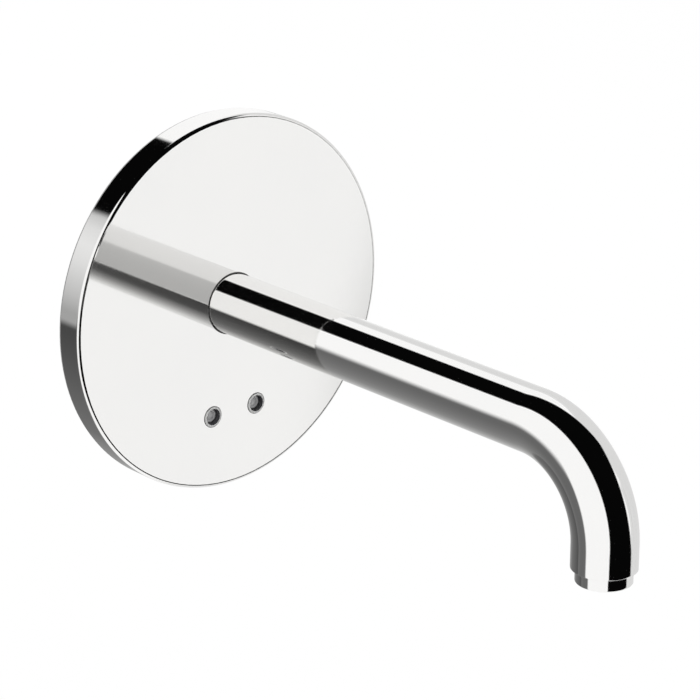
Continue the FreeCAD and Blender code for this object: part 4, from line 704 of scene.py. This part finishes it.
class MIXER_OT_inlets(bpy.types.Operator):
    """Turns a hose connection, adds its chamfered hexagon and its thread, and mirrors it for the other side"""
    bl_idname = "mixer.inlets"
    bl_label = "Hose connections"

    def execute(self, context):
        sizes = context.scene.mixer_sizes
        node = "cold_inlet_nipple"
        at = Vector((0, middle(node).y, middle(node).z))
        start = low(node).x
        end = high(node).x
        hexagon = high("valve_block").x
        root = sizes.thread_radius - sizes.thread_depth
        bore = sizes.inlet_bore
        passage = sizes.inlet_passage
        screwed = sizes.inlet_screwed
        seat = 24 * MM
        bevel = 0.5 * MM
        rim = 0.3 * MM
        body = turned("cold_inlet", at, RIGHT, [
            (passage, start), (screwed - bevel, start), (screwed, start + bevel), (screwed, hexagon),
            (root, hexagon), (root, end - 0.8 * MM), (root - bevel, end), (bore + rim, end), (bore, end - rim),
            (bore, seat), (passage, seat)], 72)
        nut = self.nut(sizes, node, at, hexagon, root)
        inlet = joined(body, nut, self.thread(sizes, at, hexagon + sizes.inlet_hexagon, end, root))
        other = mirrored(inlet, "hot_inlet")
        finished(inlet, "mixer_body", "brass", "cold_inlet_nipple", sharp=24)
        finished(other, "mixer_body", "brass", "hot_inlet_nipple", sharp=24)
        return {"FINISHED"}

    def nut(self, sizes, node, at, start, root):
        """A hexagon with chamfered corners, bored a little narrower than the body that it sits on."""
        flats = high(node).y - at.y
        corners = high(node).z - at.z
        thick = sizes.inlet_hexagon
        end = start + thick
        slope = (corners - flats) * 0.6
        centre = at + RIGHT * (start + end) / 2
        nut = rod(centre, RIGHT, corners, thick, 6)
        carved(nut, turned("chamfer", at, RIGHT, [
            (0, start), (flats, start), (corners + PLAY, start + slope), (corners + PLAY, end - slope),
            (flats, end), (0, end)]), "INTERSECT")
        carved(nut, rod(centre, RIGHT, root - 0.3 * MM, 4 * thick, 72))
        return nut

    def thread(self, sizes, at, shoulder, end, root):
        """A wound ridge that is sunk into the turned body, free of the shoulder and of the end."""
        pitch = sizes.thread_pitch
        crest = sizes.thread_radius
        flank = crest - 0.1 * MM
        sunk = root - 0.2 * MM
        turns = int((end - shoulder - 1.6 * MM) / pitch) - 1
        return wound("thread", at + RIGHT * (shoulder + 1.2 * MM), RIGHT, [
            (sunk, 0), (flank, 0.4 * pitch), (crest, 0.44 * pitch), (crest, 0.56 * pitch), (flank, 0.6 * pitch),
            (sunk, 0.98 * pitch)], pitch, turns, 48)


class MIXER_OT_springs(bpy.types.Operator):
    """Winds the three return springs with ground ends"""
    bl_idname = "mixer.springs"
    bl_label = "Return springs"

    def execute(self, context):
        wire_radius = context.scene.mixer_sizes.spring_wire / 2
        sides = 10
        for node, axis, joint, turns in (
                ("hot_check_spring", RIGHT, "hot_check_travel", 4),
                ("cold_check_spring", -RIGHT, "cold_check_travel", 4),
                ("plunger_spring", UP, "plunger_lift", 6)):
            start, far = ends(node, axis)
            across = (high(node) - low(node)).y / 2 - wire_radius
            height = abs((far - start).dot(axis))
            at = middle(node) + axis * ((start - middle(node)).dot(axis))
            ring = [(across + wire_radius * math.cos(TURN * side / sides), wire_radius * math.sin(TURN * side / sides))
                    for side in range(sides)]
            spring = wound(node.replace("_spring", "_return_spring"), at, axis, ring, height / turns, turns, 36)
            for plane, normal in ((start, -axis), (far, axis)):
                edit()
                bpy.ops.mesh.bisect(
                    plane_co=plane, plane_no=normal, clear_outer=True, use_fill=True, threshold=DOUBLES)
                bpy.ops.object.mode_set(mode="OBJECT")
            finished(spring, "mixer_body", "steel", node, sharp=60)
            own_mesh(spring)
        return {"FINISHED"}


class MIXER_OT_coil(bpy.types.Operator):
    """Turns the magnet coil: its two flanges and the ribbed winding between them"""
    bl_idname = "mixer.coil"
    bl_label = "Magnet coil"

    def execute(self, context):
        node = "solenoid_coil"
        at = Vector((middle(node).x, middle(node).y, 0))
        outer = high(node).y - at.y
        bottom = low(node).z
        top = high(node).z
        bore = 5.2 * MM
        flange = 1.4 * MM
        step = 0.5 * MM
        edge = 0.4 * MM
        ribs = 7
        pitch = (top - bottom - 2 * flange - 2 * step) / ribs
        profile = [(bore, bottom), (outer - edge, bottom), (outer, bottom + edge), (outer, bottom + flange),
                   (outer - step, bottom + flange + step)]
        for rib in range(ribs):
            base = bottom + flange + step + pitch * rib
            for along, sunk in ((0.15, 1), (0.3, 0.5), (0.7, 0.5), (0.85, 1)):
                profile.append((outer - sunk * step, base + along * pitch))
        profile += [(outer - step, top - flange - step), (outer, top - flange), (outer, top - edge),
                    (outer - edge, top), (bore, top)]
        finished(turned("magnet_coil", at, UP, profile), "mixer_body", "black_plastic", node, sharp=30)
        return {"FINISHED"}


class MIXER_OT_rounded_pieces(bpy.types.Operator):
    """Joins the flat faces of the cut, pressed and moulded pieces and rounds their edges"""
    bl_idname = "mixer.rounded_pieces"
    bl_label = "Round the plain pieces"

    def execute(self, context):
        for node, edge in (
                ("valve_block", 0.5), ("solenoid_yoke", 0.3), ("bonnet_plate", 0.2), ("coil_nut", 0.25),
                ("carrier_plate", 0.2), ("sensor_housing", 0.4), ("sensor_housing_cover", 0.3), ("power_inlet", 0.25),
                ("coil_terminals", 0.2), ("retaining_clips", 0.12)):
            deselect()
            bpy.ops.mesh.primitive_cube_add(size=MM)
            piece = named(node + "_rounded")
            piece.data = frame["nodes"][node].data.copy()
            bpy.ops.mesh.customdata_custom_splitnormals_clear()
            edit()
            bpy.ops.mesh.remove_doubles(threshold=2 * DOUBLES)
            bpy.ops.mesh.select_all(action="SELECT")
            bpy.ops.mesh.dissolve_limited(angle_limit=math.radians(0.5))
            bpy.ops.object.mode_set(mode="OBJECT")
            applied(piece, "BEVEL", width=edge * MM, segments=2, limit_method="ANGLE", angle_limit=math.radians(50),
                    use_clamp_overlap=False)
            finished(piece, "mixer_body", slot_of(node), node, sharp=60)
            applied(piece, "WEIGHTED_NORMAL", keep_sharp=True)
        return {"FINISHED"}


class MIXER_OT_screws(bpy.types.Operator):
    """Turns the socket-head screws of the block, the bonnet and the sensor's cover"""
    bl_idname = "mixer.screws"
    bl_label = "Screws"

    def execute(self, context):
        for node, axis, radius, height, shank, key in (
                ("block_screws", ROOM, 3.5, 2.5, 2, 1.45), ("bonnet_screws", UP, 2.7, 1.8, 1.5, 1.15),
                ("sensor_cover_screws", -ROOM, 1.9, 1, 1, 0.75)):
            lowest = low(node)
            highest = high(node)
            radius *= MM
            height *= MM
            below = abs((highest - lowest).dot(axis)) - height
            seat = ends(node, axis)[1] - axis * height
            side = 2 if axis.y else 1
            levels = (lowest[side] + radius, highest[side] - radius)
            if levels[1] - levels[0] <= radius:
                levels = (sum(levels) / 2,)
            screws = []
            for across in (lowest.x + radius, highest.x - radius):
                for level in levels:
                    seat.x = across
                    seat[side] = level
                    screws.append(self.screw(seat.copy(), axis, radius, height, shank * MM, below, key * MM))
            screws = joined(*screws)
            screws.name = screws.data.name = node + "_with_sockets"
            finished(screws, "mixer_body", slot_of(node), node, sharp=30)
        return {"FINISHED"}

    def screw(self, at, axis, radius, height, shank, below, key):
        """A domed head with a hexagon socket on a shank with a pointed end."""
        screw = turned("screw", at, axis, [
            (0, -below), (shank * 0.7, -below), (shank, -below + 0.4 * shank), (shank, 0),
            (radius, 0), (radius, height * 0.55), (radius * 0.93, height * 0.8), (radius * 0.8, height * 0.95),
            (radius * 0.6, height), (0, height)], 40)
        carved(screw, rod(at + axis * height, axis, key, height * 1.1, 6))
        return screw


class MIXER_OT_temperature_knob(bpy.types.Operator):
    """Turns the temperature knob and cuts its flutes and its screwdriver slot"""
    bl_idname = "mixer.temperature_knob"
    bl_label = "Temperature knob"

    def execute(self, context):
        node = "temperature_knob"
        at = Vector((0, 0, middle(node).z))
        radius = high(node).x
        front = -low(node).y
        back = -high(node).y
        stem = 3.1 * MM
        dish = 0.4 * MM
        edge = 0.8 * MM
        web = 1.2 * MM
        count = 18
        knob = turned("fluted_knob", at, ROOM, [
            (stem, back), (radius - dish, back), (radius, back + dish), (radius, front - edge),
            (radius - edge, front), (stem + 1.5 * MM, front), (stem + 1.2 * MM, front - dish),
            (0, front - dish), (0, front - web), (stem, front - web)])
        flutes = [rod(at + Vector((radius + 0.25 * MM, -front, 0)), ROOM, 0.8 * MM, 2.2 * (front - back), 16)]
        for number in range(1, count):
            pick(flutes[0])
            bpy.ops.object.duplicate()
            bpy.ops.transform.rotate(value=TURN * number / count, orient_axis="Y", center_override=at)
            bpy.ops.object.transform_apply()
            flutes.append(bpy.context.object)
        carved(knob, joined(*flutes))
        deselect()
        bpy.ops.mesh.primitive_cube_add(size=1, location=(0, -front + dish, at.z))
        slot = named("slot")
        bpy.ops.transform.resize(value=(stem * 1.9, 1.2 * MM, 1.1 * MM))
        bpy.ops.object.transform_apply()
        carved(knob, slot)
        finished(knob, "mixing_spindle", "grey_plastic", node, sharp=30)
        return {"FINISHED"}


class MIXER_OT_studio(bpy.types.Operator):
    """Sets up the pale floor, the soft lamps, the studio's cards, the world and the camera"""
    bl_idname = "mixer.studio"
    bl_label = "Studio"

    def execute(self, context):
        stage = context.scene.mixer_stage
        self.floor(stage)
        self.cards(stage)
        self.lamps(stage)
        self.world(context.scene, stage)
        self.camera(context.scene, stage)
        context.scene.view_settings.view_transform = "Standard"
        return {"FINISHED"}

    def floor(self, stage):
        """A floor that shows nearly white and keeps the tap's shadow."""
        deselect()
        bpy.ops.mesh.primitive_circle_add(
            vertices=96, radius=FLOOR_RADIUS, fill_type="NGON", location=(0, 0, -stage.floor_drop))
        floor = named("studio_floor")
        material = finish("studio_floor")
        shader = shader_of(material)
        shader.inputs["Base Color"].default_value = FLOOR_COLOUR
        shader.inputs["Roughness"].default_value = 0.8
        shown = ranged(material, seen_rays(material), "Value", 0, 1, 0, FLOOR_GLOW)
        glow = put(material, "ShaderNodeEmission", Color=(*WHITE, 1), Strength=1.0)
        surfaced(material, shown, shader, glow)
        floor.data.materials.append(material)
        floor.visible_glossy = False

    def cards(self, stage):
        """The black, grey and pale cards that the chrome mirrors, once or by way of the spout and the plate."""
        self.whole_sheets = 0
        for name, reach, *rest in CARDS:
            self.card(name, stage.card_distance * reach, *rest)
        self.screen()

    def screen(self):
        """Clear sheets just before the plate and its rings, by which the cards tell one mirror from another."""
        radius = high("escutcheon_plate").x - 1.45 * MM
        sheet = self.sheet("clear_screen", radius, 96, (0, low("escutcheon_plate").y - 0.05 * MM, 0))
        edit()
        bpy.ops.mesh.select_mode(type="FACE")
        bpy.ops.mesh.inset(thickness=radius - high("spout_tube").x - PLAY)
        bpy.ops.mesh.delete(type="FACE")
        bpy.ops.object.mode_set(mode="OBJECT")
        sheets = [sheet]
        for node in ("emitter_bezel", "receiver_bezel"):
            at = (middle(node).x, low(node).y - 0.15 * MM, middle(node).z)
            sheets.append(self.sheet(node + "_screen", high(node).x - middle(node).x + 0.3 * MM, 48, at))
        material = finish("clear_screen")
        clear = put(material, "ShaderNodeBsdfTransparent")
        wire(material, clear, "BSDF", material.node_tree.nodes["Material Output"], "Surface")
        self.mirrored_only(joined(*sheets), material)

    def sheet(self, name, radius, sides, at):
        """A disc that faces the room."""
        deselect()
        bpy.ops.mesh.primitive_circle_add(
            vertices=sides, radius=radius, fill_type="NGON", location=at, rotation=facing(ROOM))
        return named(name)

    def mirrored_only(self, thing, material):
        """Makes a stage piece that only mirrors see."""
        thing.data.materials.append(material)
        thing.visible_camera = thing.visible_diffuse = thing.visible_shadow = thing.visible_transmission = False

    def card(self, name, distance, shades, sides, seen="once", shaded="X"):
        """A curved card: the part of a large sphere that lies beyond each of its softened sides.

        The shades are (place along X or Z, level) and the sides (normal, start, width), all in parts of the distance.
        A card shows after one mirror ("once"), after one that isn't the plate's face ("bare"), after two of which
        neither is the plate's face ("edge"), or, standing on the room's side, after two of which the last is the
        plate ("spout") or the spout ("plate"). The number of clear sheets passed tells which, so the bare and edge
        cards are left whole and clear themselves beyond their sides.
        """
        deselect()
        bpy.ops.mesh.primitive_uv_sphere_add(segments=96, ring_count=48, radius=distance)
        card = named(name)
        edit()
        material = finish(name)
        material.cycles.emission_sampling = "NONE"
        place = put(material, "ShaderNodeTexCoord")
        path = put(material, "ShaderNodeLightPath")
        again = seen in ("spout", "plate", "edge")
        whole = seen in ("bare", "edge")
        cover = ranged(material, path, "Ray Depth", 1, 2, 1 - again, again)
        if seen != "once":
            sheets = put(material, "ShaderNodeMath", operation="SUBTRACT")
            sheets.inputs[1].default_value = self.whole_sheets + {"plate": 1, "spout": 3}.get(seen, 0)
            self.whole_sheets += whole
            wire(material, path, "Transparent Depth", sheets, 0)
            apart = put(material, "ShaderNodeMath", operation="ABSOLUTE")
            wire(material, sheets, "Value", apart, 0)
            cover = multiplied(material, cover, ranged(material, apart, "Value", 0, 1, 1, 0))
        for normal, start, width in sides:
            normal = Vector(normal)
            if again:
                normal.y = -normal.y
            if not whole:
                bpy.ops.mesh.select_all(action="SELECT")
                bpy.ops.mesh.bisect(
                    plane_co=normal.normalized() * (start * distance / normal.length), plane_no=normal,
                    clear_inner=True)
            along = put(material, "ShaderNodeVectorMath", operation="DOT_PRODUCT")
            along.inputs[1].default_value = normal
            wire(material, place, "Object", along, 0)
            edge = ranged(material, along, "Value", start * distance, (start + width) * distance, 0, 1)
            edge.interpolation_type = "SMOOTHSTEP"
            cover = multiplied(material, cover, edge)
        bpy.ops.object.mode_set(mode="OBJECT")
        across = put(material, "ShaderNodeSeparateXYZ")
        wire(material, place, "Object", across, "Vector")
        share = ranged(material, across, shaded, -distance, distance, 0, 1)
        ramp = put(material, "ShaderNodeValToRGB")
        stops = ramp.color_ramp.elements
        stops.remove(stops[1])
        for number, (at, level) in enumerate(shades):
            stop = stops[0] if number == 0 else stops.new((at + 1) / 2)
            stop.position = (at + 1) / 2
            stop.color = (level, level, level, 1)
        wire(material, share, "Result", ramp, "Fac")
        glow = put(material, "ShaderNodeEmission")
        wire(material, ramp, "Color", glow, "Color")
        surfaced(material, cover, put(material, "ShaderNodeBsdfTransparent"), glow)
        self.mirrored_only(card, material)

    def lamps(self, stage):
        """The soft lamps, which mirrors don't show."""
        for name, place in LAMPS.items():
            deselect()
            bpy.ops.object.light_add(type="AREA", radius=LAMP_SIZE, location=place)
            lamp = named(name)
            lamp.data.energy = stage.lamp_power
            lamp.rotation_euler = (Vector(place) - LAMP_AIM).to_track_quat("Z", "Y").to_euler()
            lamp.visible_glossy = False

    def world(self, scene, stage):
        """The all-round light, seen as plain white."""
        world = bpy.data.worlds.new("studio_world")
        world.use_nodes = True
        scene.world = world
        ambient = world.node_tree.nodes["Background"]
        ambient.inputs["Color"].default_value = (*WHITE, 1)
        ambient.inputs["Strength"].default_value = stage.ambient
        white = put(world, "ShaderNodeBackground", Color=(*WHITE, 1), Strength=1.0)
        surfaced(world, seen_rays(world), ambient, white, "World Output")

    def camera(self, scene, stage):
        """The camera at the photograph's viewing angle."""
        deselect()
        bpy.ops.object.camera_add()
        camera = named("photo_camera")
        camera.data.sensor_width = 36
        camera.data.lens = stage.focal_length
        camera.matrix_world = Matrix.Translation(PHOTO_PLACE) @ PHOTO_TURN.to_4x4()
        scene.camera = camera


OPERATORS = (
    MIXER_OT_cad_finishes,
    MIXER_OT_wall_plate,
    MIXER_OT_spout,
    MIXER_OT_aerator_ring,
    MIXER_OT_sensor_windows,
    MIXER_OT_inlets,
    MIXER_OT_springs,
    MIXER_OT_coil,
    MIXER_OT_rounded_pieces,
    MIXER_OT_screws,
    MIXER_OT_temperature_knob,
    MIXER_OT_studio,
)


class MIXER_PT_pieces(bpy.types.Panel):
    """Lists the pieces of the mixer and their sizes and finishes"""
    bl_idname = "MIXER_PT_pieces"
    bl_label = "Basin Mixer"
    bl_space_type = "VIEW_3D"
    bl_region_type = "UI"
    bl_category = "Basin Mixer"

    def draw(self, context):
        for settings in (context.scene.mixer_sizes, context.scene.mixer_finishes, context.scene.mixer_stage):
            box = self.layout.box()
            for key in type(settings).__annotations__:
                box.prop(settings, key)
        for operator in OPERATORS:
            self.layout.operator(operator.bl_idname)


CLASSES = (MixerSizes, MixerFinishes, MixerStage, *OPERATORS, MIXER_PT_pieces)


def register():
    for each in CLASSES:
        bpy.utils.register_class(each)
    bpy.types.Scene.mixer_sizes = bpy.props.PointerProperty(type=MixerSizes)
    bpy.types.Scene.mixer_finishes = bpy.props.PointerProperty(type=MixerFinishes)
    bpy.types.Scene.mixer_stage = bpy.props.PointerProperty(type=MixerStage)


def unregister():
    del bpy.types.Scene.mixer_sizes
    del bpy.types.Scene.mixer_finishes
    del bpy.types.Scene.mixer_stage
    for each in reversed(CLASSES):
        bpy.utils.unregister_class(each)


def main():
    register()
    for operator in OPERATORS:
        getattr(bpy.ops.mixer, operator.bl_idname.split(".")[1])()


if __name__ == "__main__":
    main()
